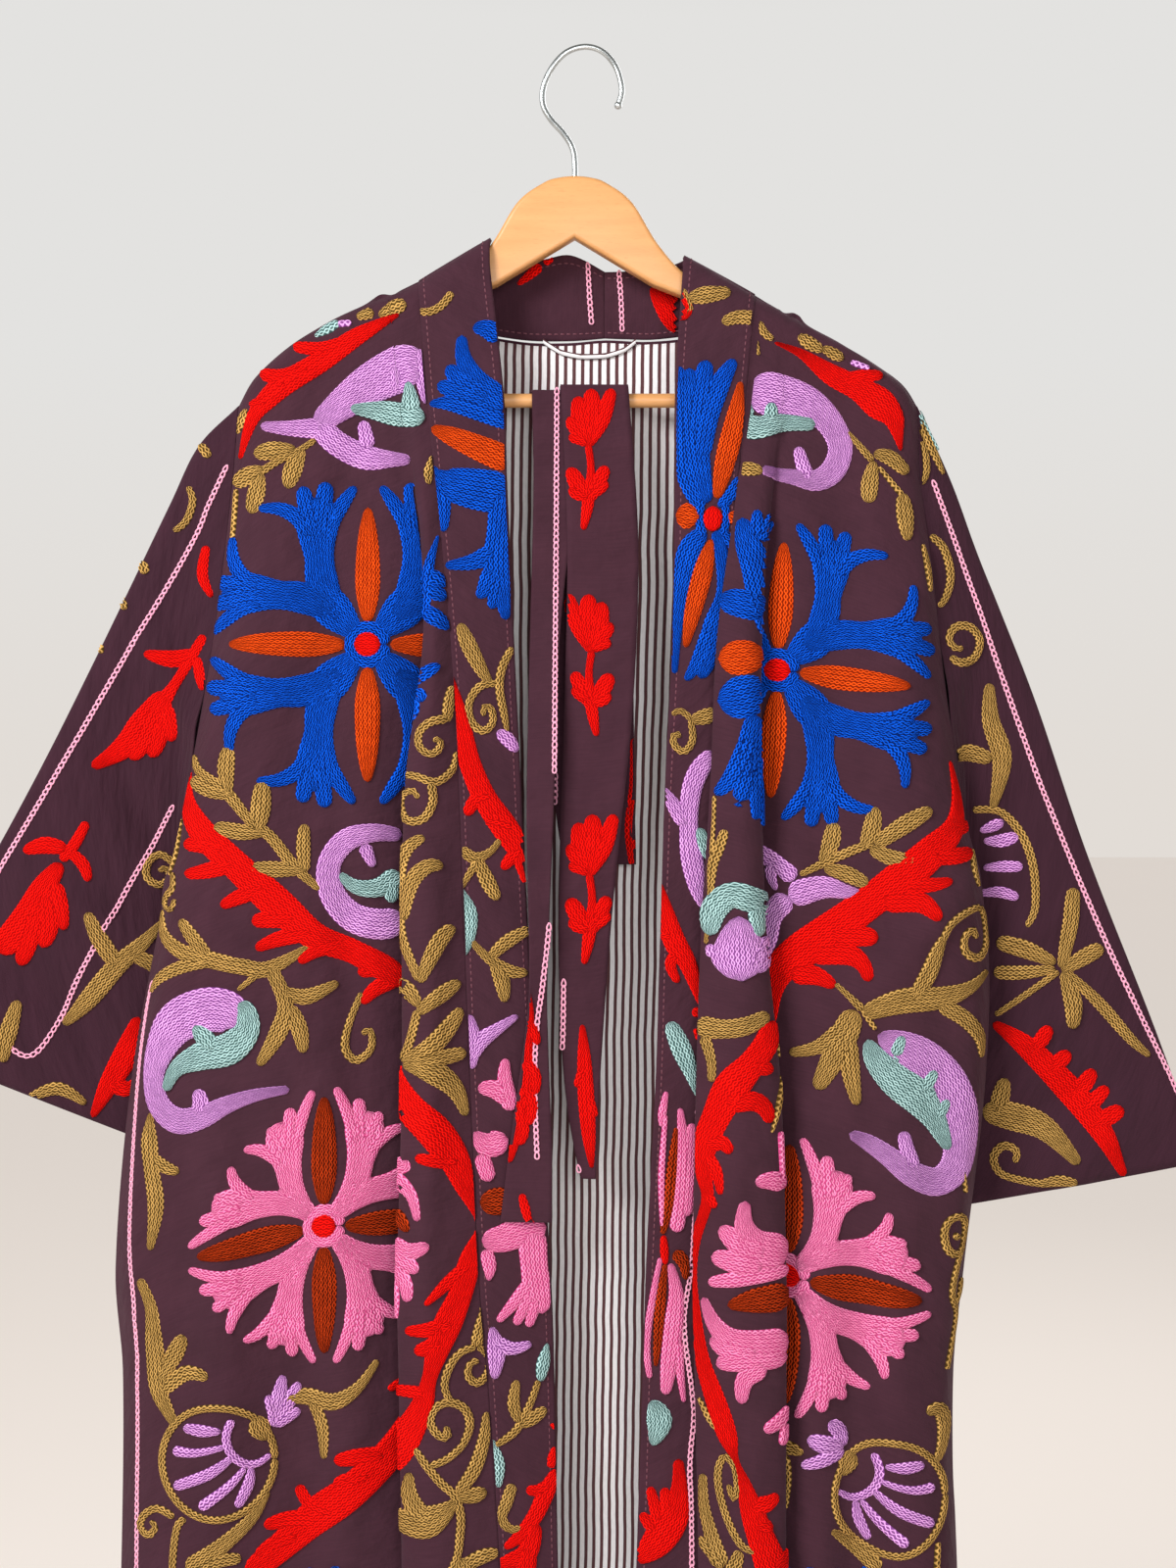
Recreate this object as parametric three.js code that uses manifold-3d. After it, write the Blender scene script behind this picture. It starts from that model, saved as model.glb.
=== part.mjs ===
import * as THREE from 'three';
import { mergeVertices } from 'three/addons/utils/BufferGeometryUtils.js';
import ManifoldModule from 'manifold-3d';

// An open-front kimono robe on a wooden hanger. Millimetres, +Z up, the front of the robe faces -Y.
// The origin is the top of the inside of the hook, where the hanger bears on whatever holds it.

const OUTER_CLOTH = 2.0;      // embroidered cotton, seam allowances and yarn included
const LINING_CLOTH = 1.2;     // striped cotton
const BAND_CLOTH = 2.4;       // the neckband is a folded double strip
const BELT_CLOTH = 2.0;       // the sash is a folded double strip
const SEAM_GAP = 1.2;         // left between two pieces at a seam
const HEM_Z = -1360;
const SHOULDER_ROUND = 14;    // how softly the cloth turns over the hanger's arm
const ARMHOLE_OPEN = 7;       // half of the armhole's width, front to back
const LAP = 3.2;              // the pleat's cloth lies over the neckband's edge where it hides the seam
const LAP_ONSET = 3;          // the lap is complete once the pleat is a third developed
const SIDE_SEAM_HALF = 1.3;   // half of the distance between front and back cloth at the side seam

// Distance below the shoulder of each row of the cloth, before it is stretched to reach the hem.
const ROW_DROPS = [0, 1.5, 5, 11, 24, 48, 80, 120, 165, 215, 265, 320, 380, 445, 515, 590, 675,
  770, 870, 980, 1090, 1195];
const ROW_REFERENCE_TOP = -165;

// The top line over the hanger's arms, from the left armhole to the right one.
const SHOULDER = {
  x: [-235, -218, -168, -113.5, -64, -30, 30, 67, 117, 159, 189, 219, 225],
  z: [-243, -217, -183, -160, -129, -127, -129, -141, -170, -193, -210, -233, -243],
};

// The neckline seam across the back, between the two shoulders.
const NECKLINE = {
  x: [-113.5, -85, -45, -12, 14, 45, 80, 117],
  z: [-160, -184, -194, -195, -193, -194, -189, -170],
};

// The standing lines of each front, read downwards: side seam, the turned edge of the long pleat,
// the neckband seam and the neckband's free edge, with how far the pleat is developed (0 to 1)
// and how far each line stands forward of the hanger's middle plane.
const LEFT_FRONT = {
  z: [-150, -243, -300, -400, -500, -600, -700, -830, -900, -1030, -1200, -1360],
  side: [-233, -235, -239, -251, -269, -290, -308, -319, -314, -315, -319, -323],
  pleat: [-135, -124, -114, -108, -119, -121, -121, -124, -123, -121, -119, -118],
  seam: [-113.5, -106, -100, -90, -84, -80, -76, -70, -64, -56, -50, -44],
  free: [-64, -55, -53.5, -48.5, -42.5, -37, -32, -24, -21.5, -17.5, -13, -10],
  develop: [0, 0.1, 0.25, 0.7, 1, 1, 1, 1, 0.95, 0.9, 0.85, 0.8],
  body: [12, 16, 20, 25, 28, 30, 31, 31, 30, 29, 28, 27],
  seamOut: [12.5, 17, 22, 29, 34, 36, 37, 37, 36, 35, 33, 31],
  freeOut: [12, 16, 18, 22, 25, 26, 27, 27, 27, 26, 26, 25],
};
const RIGHT_FRONT = {
  z: [-150, -243, -300, -400, -500, -600, -700, -830, -900, -1030, -1200, -1360],
  side: [214, 225, 227, 239, 254, 273, 272, 257, 250, 251, 256, 262],
  pleat: [140, 132, 126, 118, 117, 120, 129, 133, 133, 133, 134, 135],
  turn: [121, 112, 104, 89, 84, 78, 75, 73, 74.5, 77, 79, 80],
  seam: [117, 108, 103, 98, 94, 88, 85, 83, 84, 86, 87, 88],
  free: [67, 61.5, 61, 58, 52.5, 50, 48, 41, 38, 33, 31, 29],
  develop: [0, 0.1, 0.3, 0.8, 1, 1, 1, 1, 1, 0.95, 0.9, 0.85],
  body: [12, 16, 20, 25, 28, 30, 31, 31, 30, 29, 28, 27],
  seamOut: [12.5, 17, 19, 21, 22, 22, 22, 22, 22, 22, 22, 22],
  freeOut: [12, 16, 18, 22, 25, 26, 27, 27, 27, 26, 26, 25],
};

// The free edge of the neckband behind the neck, from the shoulder to the centre-back seam.
const LEFT_BACK_BAND = {
  x: [-64, -65, -54, -32, -10, 13],
  y: [0, 9, 16, 21, 22, 27],
  z: [-129, -132, -135, -138, -136, -145],
  seamX: [-113.5, -100, -78, -45, -12, 13],
};
const RIGHT_BACK_BAND = {
  x: [67, 67, 58, 43, 28, 13.9],
  y: [0, 9, 16, 21, 25, 27],
  z: [-141, -141.5, -143, -144, -145, -145],
  seamX: [117, 104, 80, 50, 28, 13.9],
};

// Each sleeve from armhole to cuff: its upper edge, its lower edge, how far each edge lies
// behind the hanger's middle plane, and half of the sleeve's depth.
const LEFT_SLEEVE = {
  along: [0, 0.12, 0.25, 0.45, 0.65, 0.85, 1],
  upperX: [-236, -263, -283, -328, -375, -435, -474],
  upperZ: [-243, -270, -310, -402, -495, -604, -675],
  lowerX: [-270, -274, -280, -279, -272, -260, -252],
  lowerZ: [-500, -518, -552, -612, -672, -733, -768],
  upperY: [0, 1, 3, 6, 8, 10, 10],
  lowerY: [0, 9, 19, 29, 33, 34, 34],
  half: [7, 7.5, 8, 9, 10, 10, 10],
};
const RIGHT_SLEEVE = {
  along: [0, 0.12, 0.25, 0.45, 0.65, 0.85, 1],
  upperX: [226, 249, 268, 306, 343, 389, 423],
  upperZ: [-243, -294, -345, -440, -548, -665, -758],
  lowerX: [253, 256.5, 261, 254, 232, 206, 189],
  lowerZ: [-490, -508, -543, -615, -688, -760, -806],
  upperY: [0, 1, 3, 6, 8, 10, 10],
  lowerY: [0, 9, 21, 33, 38, 40, 40],
  half: [7, 7.5, 8, 9, 10, 10, 10],
};

// The sash, from its square end up over the bar, down to its folded middle behind, and back.
const BELT = {
  x: [-39, -36, -32, -31, -30, -27, -20, -14, -12, -12, -12, -11, -9, 0, 12, 20, 21, 20, 10, 6, 6, 6, 6,
    7, 12, 9, 0, -2, 2],
  y: [-39.5, -37, -33.5, -32, -27.5, -16, -8, -6.4, -4.6, 0, 4.6, 6.4, 7, 7.5, 8.5, 9.5, 12.8, 13.2, 10.5, 8.9,
    6.3, 0, -6.3, -8.9, -11.5, -14, -17, -19, -20],
  z: [-790, -740, -660, -620, -520, -400, -300, -240, -234.2, -232.4, -234.2, -240, -290, -400, -500, -548,
    -549, -500, -320, -240, -232.6, -229.9, -232.6, -240, -340, -450, -590, -700, -765],
  half: [17, 14, 7, 6, 9, 10, 15, 22, 24, 25, 25, 25, 27, 27, 26, 26, 26, 26, 26, 24, 23, 23, 23,
    23, 24, 23, 18, 12, 5],
};

const HANGER = {
  middleX: -7,
  halfDepth: 6.5,
  edgeRound: 2.6,
  topReach: [0, 10, 20, 39, 56, 75, 107, 161, 192, 206, 213],
  topZ: [-87, -88, -91, -105, -132.5, -153.5, -168.8, -196, -213, -226, -236],
  underReach: [0, 53, 81, 107, 161, 180, 190, 200, 210],
  underZ: [-129, -161, -172, -184, -213, -228, -245, -250, -247],
};
const BAR_Z = -239;
const BAR_RADIUS = 4.8;
const BAR_REACH = 201;
const BORE_CLEARANCE = 0.35;
const WIRE_RADIUS = 2;
const WIRE = {
  x: [22.5, 25, 21, 12, 0, -13, -23, -28.5, -28.5, -23, -14.5, -8.8, -7, -7],
  z: [-38, -27, -12, -1.5, 2, -2, -13, -26, -38, -48, -57.5, -67, -78, -104],
};
const WIRE_TIP_RADIUS = 2.7;

const LOOP_THICK = 1.4;
const LOOP_HALF_HEIGHT = 1.7;
const HANG_LOOP = { x: [-29, -17, -3, 14, 27, 35], z: [-196.5, -203, -205.5, -205, -201.5, -196.5] };

const smooth = (a, b, t) => {
  const s = Math.min(1, Math.max(0, (t - a) / (b - a)));
  return s * s * (3 - 2 * s);
};

// Smooth reading of one column of a table; the key column may run up or down.
function read(table, column, key, at) {
  const keys = table[key];
  const values = table[column];
  const last = keys.length - 1;
  const up = keys[last] > keys[0];
  const limited = up ? Math.min(keys[last], Math.max(keys[0], at)) : Math.max(keys[last], Math.min(keys[0], at));
  let i = 0;
  while (i < last - 1 && (up ? limited > keys[i + 1] : limited < keys[i + 1])) i += 1;
  const span = keys[i + 1] - keys[i];
  const slope = (k) => {
    const a = Math.max(0, k - 1);
    const b = Math.min(last, k + 1);
    return (values[b] - values[a]) / (keys[b] - keys[a]);
  };
  const t = (limited - keys[i]) / span;
  const t2 = t * t;
  const t3 = t2 * t;
  return values[i] * (2 * t3 - 3 * t2 + 1) + slope(i) * span * (t3 - 2 * t2 + t)
    + values[i + 1] * (3 * t2 - 2 * t3) + slope(i + 1) * span * (t3 - t2);
}

// A point of a smooth curve through a list of points, at a fractional index.
function through(points, index) {
  const last = points.length - 1;
  const i = Math.min(last - 1, Math.max(0, Math.floor(index)));
  const t = index - i;
  const p = [points[Math.max(0, i - 1)], points[i], points[i + 1], points[Math.min(last, i + 2)]];
  return [0, 1, 2].map((axis) => {
    const [a, b, c, d] = p.map((point) => point[axis]);
    return 0.5 * (2 * b + (c - a) * t + (2 * a - 5 * b + 4 * c - d) * t * t
      + (3 * b - a - 3 * c + d) * t * t * t);
  });
}

// How far the cloth has turned over the arm at a drop below the shoulder line, 0 to 1.
const overArm = (drop) => {
  const s = Math.min(1, Math.max(0, drop / SHOULDER_ROUND));
  return Math.sqrt(1 - (1 - s) * (1 - s));
};

// Half of the opening between front and back at the side: wide along the armhole, closed below it.
function sideHalf(z, armTop, armFoot) {
  const w = Math.min(1, Math.max(0, (armTop - z) / (armTop - armFoot)));
  const round = Math.sqrt(Math.max(0, 1 - (1 - 2 * w) * (1 - 2 * w)));
  return Math.max(SIDE_SEAM_HALF, ARMHOLE_OPEN * round ** 0.7);
}

const LEFT_ARM = [-243, -500];
const RIGHT_ARM = [-243, -490];

// One row of a front, as its standing lines from the side seam to the neckband seam.
function frontLines(front, hand, arm, drop, lap = 0) {
  const lines = [];
  const stretch = (top) => top - drop * (top - HEM_Z) / (ROW_REFERENCE_TOP - HEM_Z);
  const add = (share, shiftX, depth) => {
    const topX = share(-200);
    const top = read(SHOULDER, 'z', 'x', topX);
    const z = stretch(top);
    const x = share(z) + shiftX(z);
    const turn = overArm(read(SHOULDER, 'z', 'x', x) - z);
    lines.push([x, -(SEAM_GAP / 2 + (depth(z) - SEAM_GAP / 2) * turn), z]);
  };
  const at = (column) => (z) => read(front, column, 'z', z);
  const between = (share) => (z) => at('side')(z) + share * (at('pleat')(z) - at('side')(z));
  const still = () => 0;
  const develop = at('develop');
  const body = at('body');
  const wave = (z, phase) => 3.2 * Math.sin(z / 95 + phase) * smooth(-240, -420, z);

  const armTop = arm[0];
  const zSide = stretch(armTop);
  const xSide = at('side')(Math.min(armTop, zSide));
  lines.push([xSide, -sideHalf(zSide, arm[0], arm[1]), zSide]);
  add(between(0.1), still, (z) => body(z) * 0.62 + 3);
  add(between(0.32), still, (z) => body(z) + wave(z, 0.4 * hand));
  add(between(0.58), still, (z) => body(z) * 0.9 + wave(z, 2.3));
  add(between(0.82), still, (z) => body(z) * 0.92 + wave(z, 4.1) * 0.6);
  const inward = -hand;
  add(at('pleat'), (z) => inward * (16 * develop(z) - 7), (z) => body(z) * (1 - 0.3 * develop(z)));
  add(at('pleat'), (z) => inward * 2 * (1 - develop(z)), (z) => body(z) + 5 * develop(z));
  const seam = at('seam');
  const pleat = at('pleat');
  if (front.turn) {
    const turn = at('turn');
    add((z) => 0.62 * pleat(z) + 0.38 * turn(z), still, (z) => body(z) + 17 * develop(z));
    add(turn, still, (z) => body(z) + 7 * develop(z));
  } else {
    add((z) => 0.6 * pleat(z) + 0.4 * seam(z), still, (z) => body(z) + 16 * develop(z));
  }
  add((z) => seam(z) + hand * SEAM_GAP / 2, still, (z) => at('seamOut')(z) + lap * Math.min(1, LAP_ONSET * develop(z)));
  return lines;
}

// The back hangs from the same shoulder line, in long soft waves.
function backDepth(x, z) {
  const left = read(LEFT_FRONT, 'side', 'z', z);
  const right = read(RIGHT_FRONT, 'side', 'z', z);
  const share = Math.min(1, Math.max(0, (x - left) / (right - left)));
  const edge = sideHalf(z, share < 0.5 ? LEFT_ARM[0] : RIGHT_ARM[0], share < 0.5 ? LEFT_ARM[1] : RIGHT_ARM[1]);
  const offCentre = Math.abs(2 * share - 1);
  const rise = 1 - offCentre ** (16 - 11 * smooth(-250, -480, z));
  const waves = 4 * Math.sin(share * 26 + z / 260) * smooth(-230, -520, z) * rise;
  const turn = overArm(read(SHOULDER, 'z', 'x', x) - z);
  const rim = SEAM_GAP / 2 + (edge - SEAM_GAP / 2) * Math.max(turn, offCentre ** 30);
  return rim + ((23 - edge) * rise + waves) * turn;
}

function backPoint(share, drop, inset, forward, neckDrop, armDrop) {
  const topX = LEFT_FRONT.side[1] + share * (RIGHT_FRONT.side[1] - LEFT_FRONT.side[1]);
  const inNeck = topX > NECKLINE.x[0] && topX < NECKLINE.x.at(-1);
  const shoulderTop = read(SHOULDER, 'z', 'x', topX) - armDrop;
  const top = inNeck ? Math.min(shoulderTop, read(NECKLINE, 'z', 'x', topX) - neckDrop) : shoulderTop;
  const z = top - drop * (top - HEM_Z - inset) / (ROW_REFERENCE_TOP - HEM_Z);
  const left = read(LEFT_FRONT, 'side', 'z', z) + inset;
  const right = read(RIGHT_FRONT, 'side', 'z', z) - inset;
  const settle = smooth(-170, -300, z);
  const x = topX * (1 - settle) + (left + share * (right - left)) * settle;
  const clamped = Math.min(right, Math.max(left, x));
  return [clamped, backDepth(clamped, z) - forward, z];
}

// A closed wall of even thickness about a grid of points; the grid may join up around a tube.
function wall(grid, thickness, tube = false) {
  const rows = grid.length;
  const columns = grid[0].length;
  const at = (i, j) => new THREE.Vector3(...grid[i][j]);
  const wrap = (j) => (tube ? (j + columns) % columns : Math.min(columns - 1, Math.max(0, j)));
  const outer = [];
  const inner = [];
  for (let i = 0; i < rows; i += 1) {
    for (let j = 0; j < columns; j += 1) {
      const down = at(Math.min(rows - 1, i + 1), j).sub(at(Math.max(0, i - 1), j));
      const across = at(i, wrap(j + 1)).sub(at(i, wrap(j - 1)));
      const normal = down.cross(across).normalize().multiplyScalar(thickness / 2);
      outer.push(at(i, j).add(normal));
      inner.push(at(i, j).sub(normal));
    }
  }
  const points = [...outer, ...inner].flatMap((p) => [p.x, p.y, p.z]);
  const shift = rows * columns;
  const faces = [];
  const quad = (a, b, c, d) => faces.push(a, b, c, a, c, d);
  const span = tube ? columns : columns - 1;
  for (let i = 0; i < rows - 1; i += 1) {
    for (let j = 0; j < span; j += 1) {
      const k = tube ? (j + 1) % columns : j + 1;
      const [a, b, c, d] = [i * columns + j, i * columns + k, (i + 1) * columns + k, (i + 1) * columns + j];
      quad(a, d, c, b);
      quad(shift + a, shift + b, shift + c, shift + d);
    }
  }
  for (let j = 0; j < span; j += 1) {
    const k = tube ? (j + 1) % columns : j + 1;
    const foot = (rows - 1) * columns;
    quad(j, k, shift + k, shift + j);
    quad(foot + k, foot + j, shift + foot + j, shift + foot + k);
  }
  if (!tube) {
    for (let i = 0; i < rows - 1; i += 1) {
      const a = i * columns;
      const b = (i + 1) * columns;
      const end = columns - 1;
      quad(b, a, shift + a, shift + b);
      quad(a + end, b + end, shift + b + end, shift + a + end);
    }
  }
  return closed(points, faces);
}

// Turn a closed surface outward and give it to three.js.
function closed(points, faces) {
  let volume = 0;
  const p = (i) => new THREE.Vector3(points[3 * i], points[3 * i + 1], points[3 * i + 2]);
  for (let f = 0; f < faces.length; f += 3) volume += p(faces[f]).dot(p(faces[f + 1]).cross(p(faces[f + 2])));
  if (volume < 0) for (let f = 0; f < faces.length; f += 3) [faces[f], faces[f + 1]] = [faces[f + 1], faces[f]];
  const geometry = new THREE.BufferGeometry();
  geometry.setAttribute('position', new THREE.Float32BufferAttribute(points, 3));
  geometry.setIndex(faces);
  return geometry;
}

// A round rod along a smooth path through points, with flat ends.
function rod(points, radius, sides, stepsPerSpan) {
  const count = (points.length - 1) * stepsPerSpan;
  const centres = Array.from({ length: count + 1 }, (_, i) => new THREE.Vector3(...through(points, i / stepsPerSpan)));
  const up = new THREE.Vector3(0, 1, 0);
  const list = [];
  centres.forEach((centre, i) => {
    const along = centres[Math.min(count, i + 1)].clone().sub(centres[Math.max(0, i - 1)]).normalize();
    const side = up.clone().cross(along).normalize();
    for (let k = 0; k < sides; k += 1) {
      const angle = (2 * Math.PI * k) / sides;
      list.push(centre.clone().addScaledVector(side, radius * Math.cos(angle))
        .addScaledVector(up, radius * Math.sin(angle)));
    }
  });
  const ends = [list.push(centres[0]) - 1, list.push(centres[count]) - 1];
  const faces = [];
  for (let k = 0; k < sides; k += 1) {
    const next = (k + 1) % sides;
    for (let i = 0; i < count; i += 1) {
      const [a, b] = [i * sides + k, i * sides + next];
      faces.push(a, a + sides, b + sides, a, b + sides, b);
    }
    faces.push(ends[0], k, next, ends[1], count * sides + next, count * sides + k);
  }
  return closed(list.flatMap((p) => [p.x, p.y, p.z]), faces);
}

const manifold = await ManifoldModule();
manifold.setup();
const { Manifold, Mesh } = manifold;

function solidOf(geometry) {
  const bare = new THREE.BufferGeometry();
  bare.setAttribute('position', geometry.getAttribute('position'));
  if (geometry.index) bare.setIndex(geometry.index);
  const merged = mergeVertices(bare, 1e-3);
  return new Manifold(new Mesh({
    numProp: 3,
    vertProperties: new Float32Array(merged.getAttribute('position').array),
    triVerts: new Uint32Array(merged.index.array),
  }));
}

function geometryOf(solid) {
  const mesh = solid.getMesh();
  const geometry = new THREE.BufferGeometry();
  geometry.setAttribute('position', new THREE.Float32BufferAttribute(mesh.vertProperties, 3));
  geometry.setIndex([...mesh.triVerts]);
  return geometry;
}

const robe = new THREE.Group();
robe.name = 'kimono_on_hanger';

function piece(name, geometry, color, roughness, metalness) {
  const mesh = new THREE.Mesh(geometry, new THREE.MeshStandardMaterial({ color, roughness, metalness }));
  mesh.name = name;
  robe.add(mesh);
}

const PLUM = 0x4f3440;
const STRIPE = 0xb9abad;
const BEECH = 0xd9a066;
const ZINC = 0xb4b8ba;

// Fronts and the neckband's two runs.
const LINE_STEPS = 2;
for (const [name, front, hand, arm] of [['left', LEFT_FRONT, -1, LEFT_ARM], ['right', RIGHT_FRONT, 1, RIGHT_ARM]]) {
  const grid = ROW_DROPS.map((drop) => {
    const lines = frontLines(front, hand, arm, drop, front.turn ? LAP : 0);
    const count = (lines.length - 1) * LINE_STEPS;
    return Array.from({ length: count + 1 }, (_, i) => through(lines, i / LINE_STEPS));
  });
  piece(`front_${name}`, wall(grid, OUTER_CLOTH), PLUM, 0.9, 0);

  const back = hand < 0 ? LEFT_BACK_BAND : RIGHT_BACK_BAND;
  const stations = [];
  for (let i = back.x.length - 1; i > 0; i -= 1) {
    const seamZ = read(NECKLINE, 'z', 'x', back.seamX[i]);
    stations.push({
      free: [back.x[i], back.y[i], back.z[i]],
      seam: [back.seamX[i], backDepth(back.seamX[i], seamZ), seamZ + 1.4 + SEAM_GAP],
    });
  }
  const freeTop = back.z[0];
  ROW_DROPS.forEach((drop) => {
    const [seamX, seamY, seamZ] = frontLines(front, hand, arm, drop).at(-1);
    const freeZ = freeTop - drop * (freeTop - HEM_Z) / (ROW_REFERENCE_TOP - HEM_Z);
    const freeY = read(front, 'freeOut', 'z', freeZ) * overArm(freeTop - freeZ);
    stations.push({
      free: [read(front, 'free', 'z', freeZ), -freeY, freeZ],
      seam: [seamX - hand * SEAM_GAP, seamY, seamZ],
    });
  });
  const bandGrid = stations.map(({ free, seam }) => [0, 0.25, 0.75, 1].map((t) => {
    const bulge = 1.5 * (4 * t * (1 - t));
    return [0, 1, 2].map((axis) => free[axis] + t * (seam[axis] - free[axis]) - (axis === 1 ? bulge : 0));
  }));
  piece(`neckband_${name}`, wall(bandGrid, BAND_CLOTH), PLUM, 0.9, 0);
}

// Back and the lining that shows against it.
const BACK_COLUMNS = 20;
const closerAtSides = (t) => 0.3 * t + 0.7 * (0.5 - 0.5 * Math.cos(Math.PI * t));
const backGrid = (columns, inset, forward, neckDrop, armDrop, drops) => drops.map((drop) => Array.from(
  { length: columns + 1 },
  (_, j) => backPoint(closerAtSides(j / columns), drop, inset, forward, neckDrop, armDrop),
));
piece('back', wall(backGrid(BACK_COLUMNS, 0, 0, 0, 0, ROW_DROPS), OUTER_CLOTH), PLUM, 0.9, 0);
const LINING_DROPS = ROW_DROPS.filter((drop) => drop === 0 || drop > 20);
const LINING_FORWARD = OUTER_CLOTH / 2 + LINING_CLOTH / 2 + 1.6;
piece('lining_back', wall(backGrid(BACK_COLUMNS, 8, LINING_FORWARD, 2.5, 30, LINING_DROPS), LINING_CLOTH),
  STRIPE, 0.85, 0);

// Sleeves: straight tubes that fall from the armholes, open at both ends.
const ARMHOLE_GAP = 2.2;
const SLEEVE_ROWS = 9;
const SLEEVE_ROUND = 20;
for (const [name, table, front, arm, hand] of [
  ['left', LEFT_SLEEVE, LEFT_FRONT, LEFT_ARM, -1], ['right', RIGHT_SLEEVE, RIGHT_FRONT, RIGHT_ARM, 1],
]) {
  const grid = [];
  for (let i = 0; i <= SLEEVE_ROWS; i += 1) {
    const along = (i / SLEEVE_ROWS) ** 1.15;
    const value = (column) => read(table, column, 'along', along);
    grid.push(Array.from({ length: SLEEVE_ROUND }, (_, k) => {
      const angle = (2 * Math.PI * k) / SLEEVE_ROUND;
      const w = (1 - Math.cos(angle)) / 2;
      const round = Math.sign(Math.sin(angle)) * Math.abs(Math.sin(angle)) ** 0.7;
      const z = value('upperZ') + w * (value('lowerZ') - value('upperZ'));
      const straightX = value('upperX') + w * (value('lowerX') - value('upperX'));
      const armX = read(front, 'side', 'z', arm[0] + w * (arm[1] - arm[0])) + hand * ARMHOLE_GAP;
      const x = straightX + (armX - (table.upperX[0] + w * (table.lowerX[0] - table.upperX[0]))) * (1 - along) ** 3;
      const y = value('upperY') + w * (value('lowerY') - value('upperY')) + value('half') * round;
      return [x, y, z];
    }));
  }
  piece(`sleeve_${name}`, wall(grid, OUTER_CLOTH, true), PLUM, 0.9, 0);
}

// The sash over the bar.
const beltPoints = BELT.x.map((x, i) => [x, BELT.y[i], BELT.z[i]]);
const BELT_STEPS = 2;
const beltGrid = Array.from({ length: (beltPoints.length - 1) * BELT_STEPS + 1 }, (_, i) => {
  const index = i / BELT_STEPS;
  const [x, y, z] = through(beltPoints, index);
  const half = through(BELT.half.map((h) => [h, 0, 0]), index)[0];
  return [-1, 0, 1].map((side) => [x + side * half, y, z]);
});
piece('belt', wall(beltGrid, BELT_CLOTH), PLUM, 0.9, 0);

// The little loop of lining cloth below the neckline, sewn in at both ends.
const loopPoints = HANG_LOOP.x.map((x, i) => [x, 0, HANG_LOOP.z[i]]);
const LOOP_STEPS = 3;
const loopGrid = Array.from({ length: (loopPoints.length - 1) * LOOP_STEPS + 1 }, (_, i) => {
  const [x, , z] = through(loopPoints, i / LOOP_STEPS);
  const y = backDepth(x, z) - LINING_FORWARD - LINING_CLOTH / 2 - LOOP_THICK / 2 - 0.35;
  return [[x, y, z + LOOP_HALF_HEIGHT], [x, y, z - LOOP_HALF_HEIGHT]];
});
piece('hang_loop', wall(loopGrid, LOOP_THICK), STRIPE, 0.85, 0);

// The hanger: a sawn and rounded wooden bow, a dowel bar and a bent wire hook.
const outline = new THREE.Shape();
const topTable = { reach: HANGER.topReach, z: HANGER.topZ };
const OUTLINE_STEPS = 26;
const inset = HANGER.edgeRound;
const topLine = Array.from({ length: OUTLINE_STEPS + 1 }, (_, i) => {
  const reach = (i / OUTLINE_STEPS) * HANGER.topReach.at(-1);
  return [reach, read(topTable, 'z', 'reach', reach)];
});
const underLine = HANGER.underReach.map((reach, i) => [reach, HANGER.underZ[i]]);
const half = [...topLine, ...underLine.reverse()];
const whole = [...half, ...half.slice(1, -1).reverse().map(([reach, z]) => [-reach, z])];
whole.forEach(([reach, z], i) => {
  if (i === 0) outline.moveTo(reach, z);
  else outline.lineTo(reach, z);
});
const bow = new THREE.ExtrudeGeometry(outline, {
  depth: 2 * (HANGER.halfDepth - inset),
  bevelEnabled: true,
  bevelThickness: inset,
  bevelSize: inset,
  bevelOffset: -inset,
  bevelSegments: 3,
  steps: 1,
});
bow.rotateX(Math.PI / 2);
bow.translate(HANGER.middleX, HANGER.halfDepth - inset, 0);
const barLength = 2 * BAR_REACH;
const cylinder = (radius, length) => new THREE.CylinderGeometry(radius, radius, length, 28);
const bar = cylinder(BAR_RADIUS, barLength).rotateZ(Math.PI / 2).translate(HANGER.middleX, 0, BAR_Z);
const barBore = cylinder(BAR_RADIUS + BORE_CLEARANCE, barLength + 2 * BORE_CLEARANCE)
  .rotateZ(Math.PI / 2).translate(HANGER.middleX, 0, BAR_Z);
const wirePoints = WIRE.x.map((x, i) => [x, 0, WIRE.z[i]]);
const wireEndZ = WIRE.z.at(-1);
const wireBoreLength = 60;
const wireBore = cylinder(WIRE_RADIUS + BORE_CLEARANCE, wireBoreLength).rotateX(Math.PI / 2)
  .translate(WIRE.x.at(-1), 0, wireEndZ - BORE_CLEARANCE + wireBoreLength / 2);
const wood = solidOf(bow).subtract(solidOf(barBore)).subtract(solidOf(wireBore));
piece('hanger_wood', geometryOf(wood), BEECH, 0.45, 0);
piece('hanger_bar', bar, BEECH, 0.45, 0);
const tip = new THREE.SphereGeometry(WIRE_TIP_RADIUS, 18, 12).translate(WIRE.x[0], 0, WIRE.z[0]);
const hook = solidOf(rod(wirePoints, WIRE_RADIUS, 14, 4)).add(solidOf(tip));
piece('hanger_hook', geometryOf(hook), ZINC, 0.25, 1);

export default robe;
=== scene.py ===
import math
import random

import bmesh
import bpy
import numpy as np
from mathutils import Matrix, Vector
from mathutils.bvhtree import BVHTree


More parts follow.
